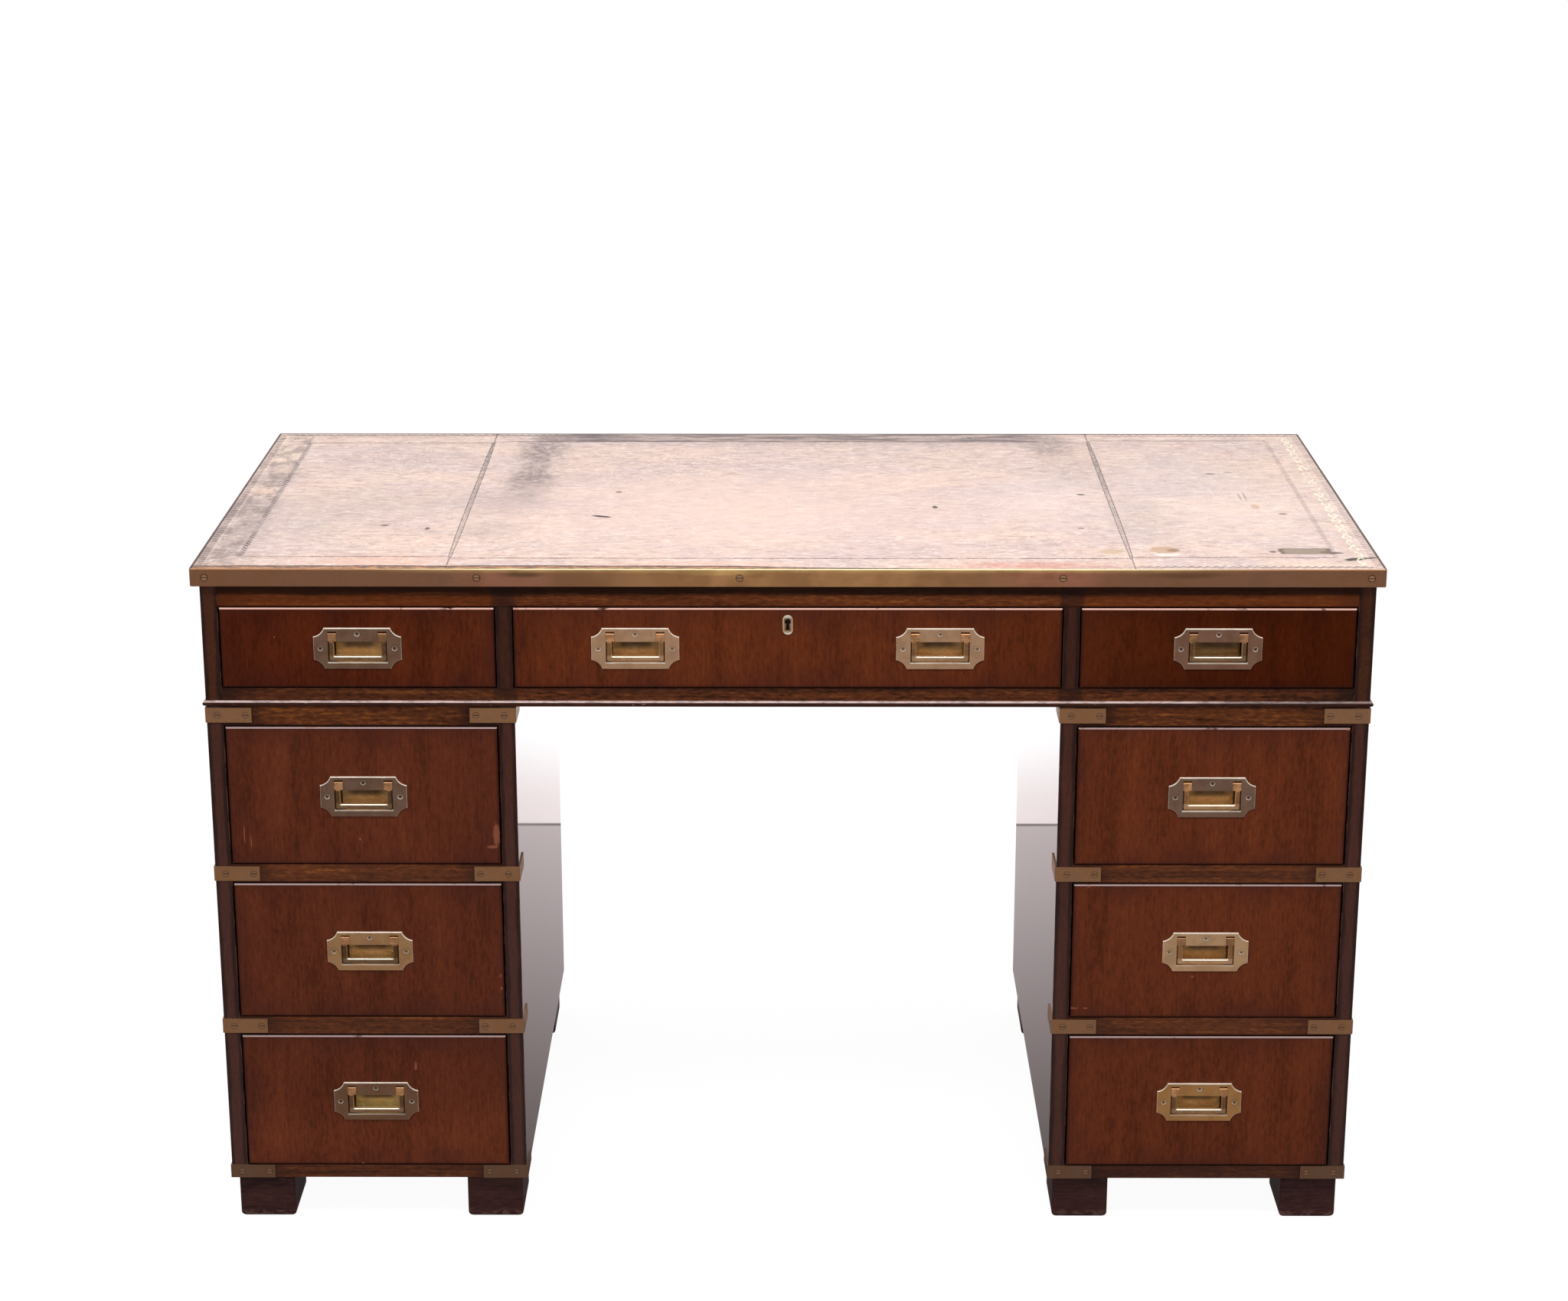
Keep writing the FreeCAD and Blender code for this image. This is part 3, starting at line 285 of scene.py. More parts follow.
VARNISH = {"IOR": 1.45, "Specular IOR Level": 0.16, "Coat Weight": 0.10, "Coat Roughness": 0.12}
DULL_VARNISH = dict(VARNISH, **{"Specular IOR Level": 0.08, "Coat Weight": 0.05})
DRAWER_TONES = (tint(72, 31, 14), tint(90, 40, 21), tint(102, 48, 26))
RAIL_TONES = (tint(46, 24, 12), tint(88, 44, 22), tint(136, 76, 30))
CASE_TONES = (tint(50, 26, 18), tint(76, 40, 27), tint(98, 54, 34))
ANTIQUE = tint(32, 18, 17)
print("mahogany tones:", [round(part, 3) for part in DRAWER_TONES[1][:3]])

# %% [markdown]
# ## Drawer fronts
#
# A drawer front is veneered with the grain upright. Its polish is warm in the middle and goes
# darker and more purple towards the edges, where old polish collects, and a painted highlight,
# partly rubbed wear, runs along the rounded top edge. Both follow from one number, the distance
# to the nearest edge of that front, so each of the nine fronts gets its own finish from its own
# box.

# %% Drawer fronts
DRAWERS = ["top_left", "top_middle", "top_right", "left_upper", "left_middle", "left_lower",
           "right_upper", "right_middle", "right_lower"]
# Each scratch: X and Z, half its width and height, how ragged.
SCRATCHES = {
    "left_upper": [(-0.317, 0.466, 0.004, 0.013, 0.4), (-0.322, 0.452, 0.006, 0.002, 0.1),
                   (-0.592, 0.466, 0.0007, 0.010, 0.3), (-0.585, 0.458, 0.0006, 0.008, 0.4),
                   (-0.466, 0.461, 0.0012, 0.0016, 0.0), (-0.515, 0.589, 0.006, 0.0012, 0.0)],
    "left_lower": [(-0.4146, 0.191, 0.0016, 0.006, 0.6), (-0.478, 0.072, 0.0016, 0.0012, 0.0)],
    "left_middle": [(-0.3165, 0.285, 0.0014, 0.002, 0.0), (-0.317, 0.300, 0.001, 0.002, 0.0)],
    "right_middle": [(0.316, 0.262, 0.006, 0.0010, 0.0), (0.330, 0.262, 0.003, 0.0010, 0.0),
                     (0.330, 0.410, 0.003, 0.005, 0.3), (0.447, 0.300, 0.0014, 0.0014, 0.0)],
    "right_upper": [(0.606, 0.588, 0.005, 0.0014, 0.0), (0.6085, 0.455, 0.001, 0.003, 0.0)],
    "top_left": [(-0.549, 0.691, 0.0009, 0.0011, 0.0)],
    "top_middle": [(-0.290, 0.7225, 0.004, 0.0010, 0.0)],
}
# What each block of drawers multiplies its tones by.
VENEERS = {"top": (1.09, 1.09, 0.87, 1), "left": (1.0, 1.0, 1.0, 1), "right": (1.15, 1.11, 0.87, 1)}


def drawer_front_finish(word):
    """Upright grain, dark towards the edges of this front, a painted highlight on its partly rubbed
    top edge.
    """
    low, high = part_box(f"{word}_front")
    middle, half = (low + high) / 2, (high - low) / 2
    shaded = word.startswith("top")
    wood = Timber(f"{word} drawer polish", "Z", DRAWER_TONES, 0.034,
                  DULL_VARNISH if shaded else VARNISH)
    wood.stain(1.0, VENEERS[word.split("_")[0]], "MULTIPLY")
    across = half.x - abs(wood.along("X", middle))
    up = wood.along("Z", middle)
    edge = across.least(half.z - abs(up))
    cloud = wood.noise((0.06, 0.06, 0.09), 4.0, 0.6, centre=(0.3, 0, 0.1))
    wood.stain(wood.fade(edge + cloud * 0.10, 0.082, 0.036) * 0.50, tint(60, 27, 23))
    if shaded:
        wood.stain(wood.fade(abs(wood.along("X")), 0.15, 0.55), (0.70, 0.56, 0.50, 1), "MULTIPLY")
        wood.stain(wood.fade(wood.along("X"), 0.12, 0.50), (0.69, 0.62, 0.30, 1), "MULTIPLY")
    if word == "left_lower":
        wood.stain(wood.fade(up, 0.02, -0.05), (1.25, 1.25, 1.15, 1), "MULTIPLY")
    # Painted shade: a thin dark line along the rounded edges, by the gaps.
    wood.stain(wood.fade(edge, 0.0040, 0.0010) * 0.5, tint(46, 22, 18))
    # Painted highlight along the rounded top edge, partly rubbed wear, broken where the noise
    # leaves it out.
    rim = wood.fade(half.z - up, 0.0017, 0.0009) * wood.fade(wood.along("Y", low), 0.0030, 0.0018)
    rubbed = wood.fade(wood.noise((0.018, 0.01, 0.01), 3.0, 0.7), 0.24, 0.40)
    wood.stain(rim * rubbed * 0.90, tint(236, 188, 172) if shaded else tint(176, 148, 144))
    for x, z, wide, tall, ragged in SCRATCHES.get(word, []):
        mark = wood.spot((x, low.y, z), (wide, 0.01, tall), ragged=0.4 + ragged)
        wood.stain(mark * 0.45, tint(160, 94, 72))
    wood.polish(0.30)
    return wood


for word in DRAWERS:
    dress(drawer_front_finish(word), f"{word}_front")
print("drawer fronts:", len(DRAWERS))

# %% [markdown]
# ## Rails, stiles and sides
#
# The level rails between drawers have their grain lengthwise, with amber stripes, and are dark
# where they meet an upright. The uprights are the front edges of the side boards: stained
# almost black at the borders, reddish along their middle. The faces of the side boards are
# plain polished mahogany, so glossy that at a low angle they mirror the room.

# %% Rails and bead
# Middles of a pedestal and of a divider along X.
BAY, DIVIDER = 0.4601, 0.3033
# Lower edge of the second rail, and the step from one rail to the next.
RAIL_EDGE, RAIL_STEP = 0.4095, 0.1809
# Lower and upper edge of the top unit's drawer openings.
BASE_EDGE, CROWN_EDGE = 0.6335, 0.7255


def rail_finish(name, shadow_from, shadow_to, centre):
    """Lengthwise grain, amber in places, dark where the distance from a bay's middle is large."""
    wood = Timber(name, "X", RAIL_TONES, 0.010, VARNISH)
    amber = wood.noise((0.10, 0.05, 0.012), 3.0, 0.6)
    wood.stain(wood.fade(amber, 0.42, 0.30) * 0.6, tint(64, 34, 22))
    reach = abs(abs(wood.along("X")) - centre)
    frayed = reach + (wood.noise((0.02, 0.02, 0.01), 3.0) - 0.5) * 0.02
    wood.stain(wood.fade(frayed, shadow_from, shadow_to) * 0.8, ANTIQUE)
    return wood


rails = rail_finish("pedestal rail polish", 0.090, 0.128, BAY)
height = rails.along("Z")
rails.stain(rails.fade(height, 0.585, 0.592) * 0.16, tint(34, 18, 8))
rails.stain(rails.fade(height, 0.500, 0.400) * 0.28, tint(96, 54, 36))
to_right = rails.fade(rails.along("X"), -0.2, 0.2)
rails.stain(rails.fade(height, 0.080, 0.072) * (to_right * 0.45 + 0.15), tint(36, 24, 24))
# Painted shade: a dark line along the lower edge of each rail, over the gap above a drawer front.
from_shaded_edge = abs(height - RAIL_EDGE)
from_shaded_edge = from_shaded_edge.least(abs(from_shaded_edge - RAIL_STEP))
rails.stain(rails.fade(from_shaded_edge, 0.0018, 0.0010) * 0.9, tint(26, 8, 5))
rails.polish(0.30)
dress(rails, "pedestal_rails")

upper = rail_finish("top unit rail polish", 0.560, 0.612, 0.0)
height, across = upper.along("Z"), abs(upper.along("X"))
crown = upper.fade(height, 0.700, 0.720)
upper.stain(crown * (upper.fade(across, 0.30, 0.31) * 0.25 + 0.15), tint(110, 48, 4))
lines = upper.noise((0.09, 0.05, 0.0035), 3.0, 0.6)
# Painted shadow of the brass band on the top of the crown rail.
band_shadow = upper.fade(height + (lines - 0.5) * 0.010, 0.7345, 0.7410)
upper.stain(band_shadow * 0.85, tint(32, 14, 6))
# Painted shade: a dark line along the crown rail's lower edge, over the gap above the top drawers.
upper.stain(upper.fade(height, CROWN_EDGE + 0.0008, CROWN_EDGE) * crown * 0.9, tint(44, 12, 3))
left_end = upper.fade(upper.along("X"), -0.22, -0.40) * upper.fade(height, 0.70, 0.66)
upper.stain(left_end * 0.28, tint(36, 18, 12))
upper.stain(upper.fade(abs(height - BASE_EDGE), 0.006, 0.001) * 0.5, ANTIQUE)
upper.stain(upper.fade(abs(across - DIVIDER), 0.016, 0.010) * 0.6, ANTIQUE)
upper.polish(0.30)
dress(upper, "unit_rails")

bead = Timber("bead polish", "X", CASE_TONES, 0.010, VARNISH)
bead.stain(0.5, ANTIQUE)
chipped = bead.noise((0.012, 0.008, 0.003), 4.0, 0.7)
bead.stain(bead.fade(chipped, 0.66, 0.72) * 0.8, tint(190, 150, 140))
rise = bead.along("Z")
# Painted highlight: a pale line along the bead, broken by the chips.
painted_highlight = bead.fade(rise, 0.6174, 0.6182) * bead.fade(rise, 0.6200, 0.6192)
painted_highlight = painted_highlight * (1 - bead.fade(bead.along("X"), 0.42, 0.50) * 0.6)
bead.stain(painted_highlight * (bead.fade(chipped, 0.30, 0.60) * 0.6 + 0.4), tint(210, 185, 180))
bead.polish(0.28)
dress(bead, "bead_moulding")
print("rails and bead ready")

# %% Side boards and dividers
POLISH = {"IOR": 1.5, "Coat Weight": 1.0, "Coat Roughness": 0.035}
# Middles of an upright in its bay and of the top unit's sides along X.
STILE, OUTER_SIDE = 0.1573, 0.6174
FACE = -0.3034


def side_finish(name, along, middle_of_edge, reddish):
    """Polished board; on its front edge dark borders frame a reddish middle."""
    wood = Timber(name, along, CASE_TONES, 0.045, POLISH)
    front = wood.fade(wood.along("Y"), FACE + 0.0022, FACE + 0.0010)
    off_middle = middle_of_edge(wood)
    ragged = off_middle + (wood.noise((0.012, 0.012, 0.05), 3.0, 0.6) - 0.5) * 0.008
    wood.stain(front * 0.65, reddish)
    lit = wood.fade(wood.along("X"), 0.2, -0.2) * front
    wood.stain(lit, (1.13, 1.13, 1.13, 1), "MULTIPLY")
    wood.stain(front * wood.fade(ragged, 0.0030, 0.0072) * 0.80, ANTIQUE)
    corner = wood.fade(off_middle, 0.0080, 0.0088) * front
    wood.stain(corner * wood.fade(wood.noise((0.01, 0.01, 0.03), 3.0, 0.7), 0.45, 0.60) * 0.5,
               tint(140, 88, 72))
    wood.polish(0.20, 0.06)
    return wood


dress(side_finish("pedestal side polish", "Z",
                  lambda wood: abs(abs(abs(wood.along("X")) - BAY) - STILE), tint(64, 36, 31)),
      "pedestal_sides")
dress(side_finish("top unit side polish", "Y",
                  lambda wood: abs(abs(wood.along("X")) - OUTER_SIDE), tint(60, 30, 14)),
      "unit_sides")
dress(side_finish("divider polish", "Z",
                  lambda wood: abs(abs(wood.along("X")) - DIVIDER), tint(48, 25, 17)),
      "unit_dividers")
print("case finishes ready")

# %% [markdown]
# ## Feet and plain wood inside
#
# The block feet are the darkest wood, purple-brown, scuffed paler round their soles. Drawer
# boxes, backs and runners were never polished: pale, dry wood with the same grain but no coat.
# At the corners of a drawer box the boards are dovetailed, and the joint shows on the sides as
# a row of wedges of end grain. It is drawn with one wave up the corner, to which the distance
# from the corner is added so that each wedge narrows.

# %% Feet
FOOT_TONES = (tint(42, 23, 23), tint(58, 32, 30), tint(72, 41, 36))
FOOT_TOP = 0.0536
feet = Timber("foot polish", "X", FOOT_TONES, 0.03, VARNISH)
rise = feet.along("Z")
feet.stain(feet.fade(rise, 0.046, FOOT_TOP) * 0.5, tint(34, 20, 22))
scuffs = feet.noise((0.012, 0.012, 0.006), 4.0, 0.7)
feet.stain(feet.fade(rise, 0.012, 0.004) * feet.fade(scuffs, 0.45, 0.62) * 0.6, tint(118, 84, 76))
feet.stain(feet.fade(scuffs, 0.66, 0.74) * 0.35, tint(128, 80, 72))
feet.polish(0.42, 0.14)
dress(feet, "block_feet")
print("foot height:", FOOT_TOP)

# %% Bare wood
BARE_TONES = (tint(128, 86, 58), tint(158, 112, 76), tint(182, 138, 98))
BACK_TONES = (tint(84, 50, 34), tint(112, 70, 47), tint(134, 88, 60))
DRY = {"IOR": 1.45, "Specular IOR Level": 0.3}
# Height of a dovetail, thickness of the board, narrowing of a wedge.
DOVETAIL, BOARD, FLARE = 0.028, 0.009, 30


def bare_finish(name, along, tones=BARE_TONES):
    """Unpolished boards, with a little handling dirt."""
    wood = Timber(name, along, tones, 0.03, DRY)
    dirt = wood.noise((0.16, 0.16, 0.12), 4.0, 0.6)
    wood.stain(wood.fade(dirt, 0.46, 0.70) * 0.4, tint(96, 66, 48))
    return wood


def box_finish(word):
    """Bare drawer box with dovetails at the two ends of its sides."""
    low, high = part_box(f"{word}_box")
    size, middle = high - low, (low + high) / 2
    wood = bare_finish(f"{word} box wood", "Y")
    end = size.y / 2 - abs(wood.along("Y", middle))
    outside = wood.fade(size.x / 2 - abs(wood.along("X", middle)), 0.0012, 0.0004)
    pins = max(2, round(size.z / DOVETAIL))
    sloped = wood.along("Z", low).wave(size.z / pins) + end * FLARE
    wedge = wood.fade(sloped, 0.20, 0.24) * wood.fade(end, BOARD + 0.0003, BOARD - 0.0001)
    wood.stain(wedge * outside * 0.55, tint(112, 74, 48))
    line = wood.fade(abs(sloped - 0.22), 0.16, 0.05).most(
        wood.fade(abs(end - BOARD), 0.0005, 0.0002))
    wood.stain(line * wood.fade(end, BOARD + 0.0005, BOARD) * outside * 0.7, tint(60, 38, 26))
    wood.polish(0.62)
    return wood


for word in DRAWERS:
    dress(box_finish(word), f"{word}_box")
for name, along, tones, satin, nodes in (
        ("inner board wood", "X", BARE_TONES, 0.62,
         ("pedestal_tops", "pedestal_bottoms", "base_board", "locating_dowels")),
        ("runner wood", "Y", BARE_TONES, 0.60, ("drawer_runners",)),
        ("back board wood", "Z", BACK_TONES, 0.55, ("pedestal_backs", "unit_back", "top_board"))):
    boards = bare_finish(name, along, tones)
    boards.polish(satin)
    dress(boards, *nodes)
print("wood finishes:", len([m for m in bpy.data.materials if "wood" in m.name]))

# %% [markdown]
# ## Old brass
#
# New brass is a yellow mirror. With age it dulls: a brown film grows where no hand rubs it, and
# fine scratches from polishing all run one way. A metallic shader whose base colour moves
# between rubbed gold and brown film, with brushed noise in both roughness and relief, shows
# this under any light. Each handle on this desk has aged in its own way, so each gets its own
# pair of colours.

# %% Brass
BRASS = {"IOR": 1.5, "Specular IOR Level": 0.5}


class Brass(Finish):
    """Aged brass, brushed along one axis, between a rubbed colour and its tarnish."""

    def __init__(self, name, along, rubbed, tarnish, patch=0.02):
        super().__init__(name, BRASS)
        self.brushed = self.noise(stretched(along, 0.00035, 0.03), 3.0, 0.65)
        film = self.noise([patch] * 3, 4.0, 0.65)
        self.dull = self.fade(film + (self.brushed - 0.5) * 0.35, 0.38, 0.66)
        self.colour = self.mix(self.dull, rubbed, tarnish)

    def buff(self, rough):
        """Joins the colour, the metal's sheen and the brushed relief to the shader."""
        self.feed("Base Color", self.colour)
        self.feed("Metallic", 0.70 - self.dull * 0.25)
        self.feed("Roughness", self.dull * 0.14 + self.brushed * 0.12 + (rough - 0.10))
        self.relief(self.brushed, 0.00002)


print("brass ready")

# %% [markdown]
# The band round the top is handled most at the middle of its front edge, so it is golden there
# and brown towards the corners, with coppery patches. Its upper edge carries a painted highlight,
# a pale line, the brightest on the desk. A dark ring surrounds each of its screws: a dark spot
# wider than the head, which covers all of it but its rim. The straps have 32 screws in front,
# so their rings follow from one number, the distance to the nearest screw.

# %% Band, straps and screws
BAND_FRONT, BAND_LEVEL = -0.312, 0.75895
BAND_SCREWS = (-0.619, -0.330, -0.051, 0.292, 0.619)
STRAP_LEVELS = (0.6029, 0.4202, 0.2393, 0.06135)
# A strap from the middle of its bay, its screws from there, their radius.
STRAP_MIDDLE, STRAP_SCREW, STRAP_HEAD = 0.13945, 0.01525, 0.0034
BAND_MARKS = [((-0.295, 0.760), (0.070, 0.020), tint(172, 112, 86), 0.55),
              ((0.285, 0.760), (0.080, 0.020), tint(178, 114, 88), 0.60),
              ((-0.280, 0.7630), (0.028, 0.0045), tint(88, 68, 42), 0.70),
              ((-0.075, 0.7655), (0.055, 0.0050), tint(222, 176, 112), 0.60),
              ((-0.085, 0.7590), (0.030, 0.0030), tint(190, 136, 98), 0.50),
              ((0.420, 0.7625), (0.050, 0.0050), tint(104, 70, 50), 0.50)]
band = Brass("edge band brass", "X", tint(158, 111, 79), tint(126, 86, 62), 0.06)
x, up = band.along("X"), band.along("Z")
band.stain(band.fade(abs(x - 0.01), 0.32, 0.06) * 0.60, tint(204, 150, 94))
for (mark_x, mark_z), (long, tall), colour, amount in BAND_MARKS:
    mark = band.spot((mark_x, BAND_FRONT, mark_z), (long, 0.02, tall), rim=0.8)
    band.stain(mark * amount, colour)
flecks = band.noise((0.004, 0.004, 0.0016), 3.0, 0.7)
band.stain(band.fade(flecks, 0.64, 0.72) * 0.5, tint(84, 60, 46))
for screw_x in BAND_SCREWS:
    around = band.spot((screw_x, BAND_FRONT, BAND_LEVEL), [0.0044] * 3, ragged=0.1)
    band.stain(around * 0.85, tint(48, 30, 22))
ahead = band.fade(band.along("Y"), -0.3098, -0.3106)
handled = band.fade(abs(x - 0.02), 0.52, 0.28)
pale = band.mix(handled, tint(184, 134, 94), tint(255, 240, 186))
band.stain(band.fade(up, 0.7630, 0.7672) * ahead * handled * 0.50, tint(228, 178, 112))
# Painted highlight: a pale line along the band's upper front edge.
band.stain(band.fade(up, 0.7674, 0.7678) * ahead * 0.92, pale)
band.stain(band.fade(up, 0.7677, 0.7685) * (1 - ahead) * 0.80, tint(84, 66, 58))
band.buff(0.40)
dress(band, "edge_band")

straps = Brass("corner strap brass", "X", tint(174, 124, 85), tint(136, 97, 68), 0.03)
up = straps.along("Z")
straps.stain(straps.fade(up, 0.14, 0.10), (0.58, 0.62, 0.76, 1), "MULTIPLY")
aside = abs(abs(abs(abs(straps.along("X")) - BAY) - STRAP_MIDDLE) - STRAP_SCREW)
off_level = abs(up - STRAP_LEVELS[0])
for level in STRAP_LEVELS[1:]:
    off_level = off_level.least(abs(up - level))
ring = abs(squared(aside) + squared(off_level) - STRAP_HEAD ** 2)
straps.stain(straps.fade(ring, 0.0000036, 0.0000012) * 0.65, tint(60, 38, 26))
straps.buff(0.42)
dress(straps, "corner_straps")

for node_name, end, head in (("band_screws", 0.633, tint(196, 148, 110)),
                             ("strap_screws", 0.624, tint(176, 130, 98))):
    screws = Brass(f"{node_name} brass", "X", head, scaled(head, 0.6), 0.006)
    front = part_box(node_name)[0].y
    # Painted shade in the slots of the inner screws.
    slot_shade = screws.fade(screws.along("Y"), front + 0.0001, front + 0.0004)
    slot_shade = slot_shade * screws.fade(screws.along("Y"), 0.0, -0.1)
    screws.stain(slot_shade * screws.fade(abs(screws.along("X")), end, end - 0.001) * 0.85,
                 tint(48, 32, 24))
    screws.buff(0.34)
    dress(screws, node_name)

plate = Brass("keyhole plate brass", "Z", tint(206, 166, 122), tint(150, 112, 84), 0.01)
low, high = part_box("escutcheon")
size, middle = high - low, (low + high) / 2
across, up = abs(plate.along("X", middle)), plate.along("Z", middle)
past_straight = (abs(up) - (size.z - size.x) / 2).most(0.0)
away = squared(across) + squared(past_straight)
# Painted highlights: a pale rim round the keyhole plate, brightest at its top and bottom.
plate.stain(plate.fade(away, 0.0037 ** 2, 0.0048 ** 2) * 0.65, tint(255, 220, 176))
plate.stain(plate.fade(abs(up), 0.0070, 0.0084) * 0.70, tint(255, 244, 228))
# Painted shade: the keyhole's shape is painted dark, standing for the shade in the hole.
bow = plate.fade(squared(across) + squared(up - 0.0037), 0.0035 ** 2, 0.0031 ** 2)
slit = plate.fade(across + up * 0.10, 0.0021, 0.0018) * plate.fade(up, 0.0030, 0.0020)
slit = slit * plate.fade(up, -0.0062, -0.0057)
plate.stain(bow.most(slit) * 0.97, tint(26, 12, 10))
plate.buff(0.32)
dress(plate, "escutcheon")

# %% [markdown]
# ## Recessed handles
#
# A campaign handle is let into the drawer front so that nothing catches on a cart: a plate with
# hollow corners, a cup behind it, and a bail that swings out. The plate is brushed, with painted
# highlights on its edges. The cup keeps its gold because nobody touches it; painted shadow makes it
# brown behind the plate and black beside the bail, above its knuckles and under its bar, and
# painted light makes its lower part brighter. Three numbers for each handle say how much light its
# cup, its bar and its knuckles still return.

# %% Handles
TOP_ROW, UPPER_ROW, MIDDLE_ROW, LOWER_ROW = 0.679, 0.51065, 0.32975, 0.14885
# Each handle: its places along X, its level, its rubbed colour; light of cup, bar and knuckles.
HANDLES = {"top_left": ((-BAY,), TOP_ROW, tint(142, 107, 84), 1.55, 0.70, 0.95),
           "top_middle": ((-0.163, 0.163), TOP_ROW, tint(213, 167, 129), 1.15, 1.30, 1.50),
           "top_right": ((BAY,), TOP_ROW, tint(155, 112, 89), 0.60, 0.72, 1.00),
           "left_upper": ((-BAY,), UPPER_ROW, tint(142, 108, 87), 1.25, 0.60, 1.30),
           "left_middle": ((-BAY,), MIDDLE_ROW, tint(202, 152, 104), 1.50, 0.55, 1.35),
           "left_lower": ((-BAY,), LOWER_ROW, tint(146, 106, 79), 1.95, 0.75, 1.45),
           "right_upper": ((BAY,), UPPER_ROW, tint(149, 115, 94), 1.40, 1.40, 1.50),
           "right_middle": ((BAY,), MIDDLE_ROW, tint(228, 182, 136), 1.20, 1.50, 0.85),
           "right_lower": ((BAY,), LOWER_ROW, tint(208, 152, 92), 1.35, 0.95, 1.60)}
DRAWER_FACE = -0.3049
# From the middle of a plate: its screws, and the centres of its hollow corners.
SCREWS = [(0.0397, 0.0), (0.0, 0.0162)]
HOLLOW_X, HOLLOW_Z = 0.0490, 0.0268
HIGHLIGHT_COLOUR = tint(255, 240, 222)
CUP_GOLD = tint(208, 158, 98)
BAR_BRASS = tint(196, 152, 112)


def plate_finish(word, centres, z, rubbed, cup):
    """Brushed plate with painted highlights on its edges, over a cup that is gold at its sides,
    with painted shadow and light in the cup.
    """
    brass = Brass(f"{word} handle brass", "X", rubbed, scaled(rubbed, 0.70), 0.018)
    fade, stain, x = brass.fade, brass.stain, brass.along("X")
    across = abs(abs(x) - abs(centres[0])) if len(centres) == 2 else abs(x - centres[0])
    up = brass.along("Z", (0, 0, z))
    sunk = fade(brass.along("Y"), DRAWER_FACE + 0.0002, DRAWER_FACE + 0.0016)
    face = 1 - sunk
    hollow = squared(across - HOLLOW_X) + squared(up - HOLLOW_Z)
    # Painted highlights along the top edge, the hollow corners, the lower border and the window's
    # ledge.
    crest = fade(up, 0.0211, 0.0218).most(fade(hollow, 0.0151 ** 2, 0.0144 ** 2))
    hollow = squared(across - HOLLOW_X) + squared(up + HOLLOW_Z)
    border = fade(up, -0.0224, -0.0228).most(fade(across, 0.0463, 0.0467))
    border = border.most(fade(hollow, 0.0146 ** 2, 0.0143 ** 2))
    ledge = fade(abs(up + 0.0158), 0.0012, 0.0006) * fade(across, 0.0324, 0.0314)
    painted_highlight = (crest * 0.95).most(ledge * (0.90 if z > MIDDLE_ROW else 0.50)).most(border * 0.40)
    stain(painted_highlight * face, HIGHLIGHT_COLOUR)
    stain(sunk, scaled(CUP_GOLD, cup))
    stains = brass.noise((0.006, 0.006, 0.004), 4.0, 0.7, centre=(z, 0, 0))
    stain(sunk * fade(stains, 0.36, 0.58) * 0.25, tint(96, 74, 48))
    # Painted light: the lower part of the cup is made lighter.
    stain(sunk * fade(up, -0.0035, -0.0090), (1.5, 1.45, 1.4, 1), "MULTIPLY")
    # Painted shadow in the upper middle of the cup, under the plate's tongue.
    behind = fade(up, -0.0060, 0.0005) * fade(across, 0.025, 0.012)
    stain(sunk * behind * 0.80, tint(84, 60, 38))
    # Painted shadow beside the bail, above its knuckles and under its bar.
    cup_shadow = fade(across, 0.0244, 0.0254).most(fade(up, -0.0138, -0.0146))
    stain(sunk * cup_shadow * 0.92, tint(36, 22, 14))
    bevel = fade(across, 0.0310, 0.0313).most(fade(up, 0.0178, 0.0182))
    stain(sunk * bevel * 0.60, rubbed)
    for side, rise in SCREWS:
        away = squared(across - side) + squared(up - rise)
        rim = fade(abs(away - 0.0034 ** 2), 0.0000030, 0.0000010)
        stain(rim * face * 0.50, tint(50, 34, 26))
        dish = fade(away, 0.0024 ** 2, 0.0018 ** 2) * face
        stain(dish * 0.45, tint(70, 50, 38))
        # Painted highlight: a pale crescent on each screw head, stronger at its bottom.
        crescent = fade(abs(away - 0.0026 ** 2), 0.0000034, 0.0000016)
        stain(crescent * face * (fade(up - rise, 0.0020, -0.0020) * 0.6 + 0.2), HIGHLIGHT_COLOUR)
    brass.buff(0.36)
    return brass


def bail_finish(name, x, z, bar, knuckle):
    """Swing handle: coppery knuckles, browner arms, a painted highlight along the bar's upper edge
    and painted shade under the bar.
    """
    brass = Brass(f"{name} brass", "X", scaled(BAR_BRASS, bar), scaled(BAR_BRASS, bar * 0.7), 0.012)
    fade, stain = brass.fade, brass.stain
    across, up = abs(brass.along("X", (x, 0, 0))), brass.along("Z", (0, 0, z))
    arms = fade(up, -0.0086, -0.0070)
    stain(arms, (0.58, 0.49, 0.40, 1), "MULTIPLY")
    stain(arms * fade(abs(across - 0.0256), 0.0006, 0.0003) * 0.35, tint(240, 196, 140))
    stain(fade(up, 0.0062, 0.0068) * 0.90, scaled(tint(188, 136, 94), knuckle))
    # Painted shade on the underside of the bar.
    stain(fade(up, -0.0138, -0.0146) * 0.75, tint(56, 36, 22))
    # Painted highlight along the bar's upper edge.
    line = fade(abs(up + 0.0095), 0.0009, 0.0004) * fade(across, 0.0270, 0.0252)
    stain(line * 0.95, tint(255, 244, 222))
    brass.buff(0.28)
    return brass


for word, (centres, z, rubbed, cup, bar, knuckle) in HANDLES.items():
    dress(plate_finish(word, centres, z, rubbed, cup), f"{word}_handle")
    for letter, x in zip(("_a", "_b") if len(centres) == 2 else ("",), centres):
        bail = f"{word}_bail{letter}"
        dress(bail_finish(bail, x, z, bar, knuckle), bail)
print("handles:", sum(len(places[0]) for places in HANDLES.values()))

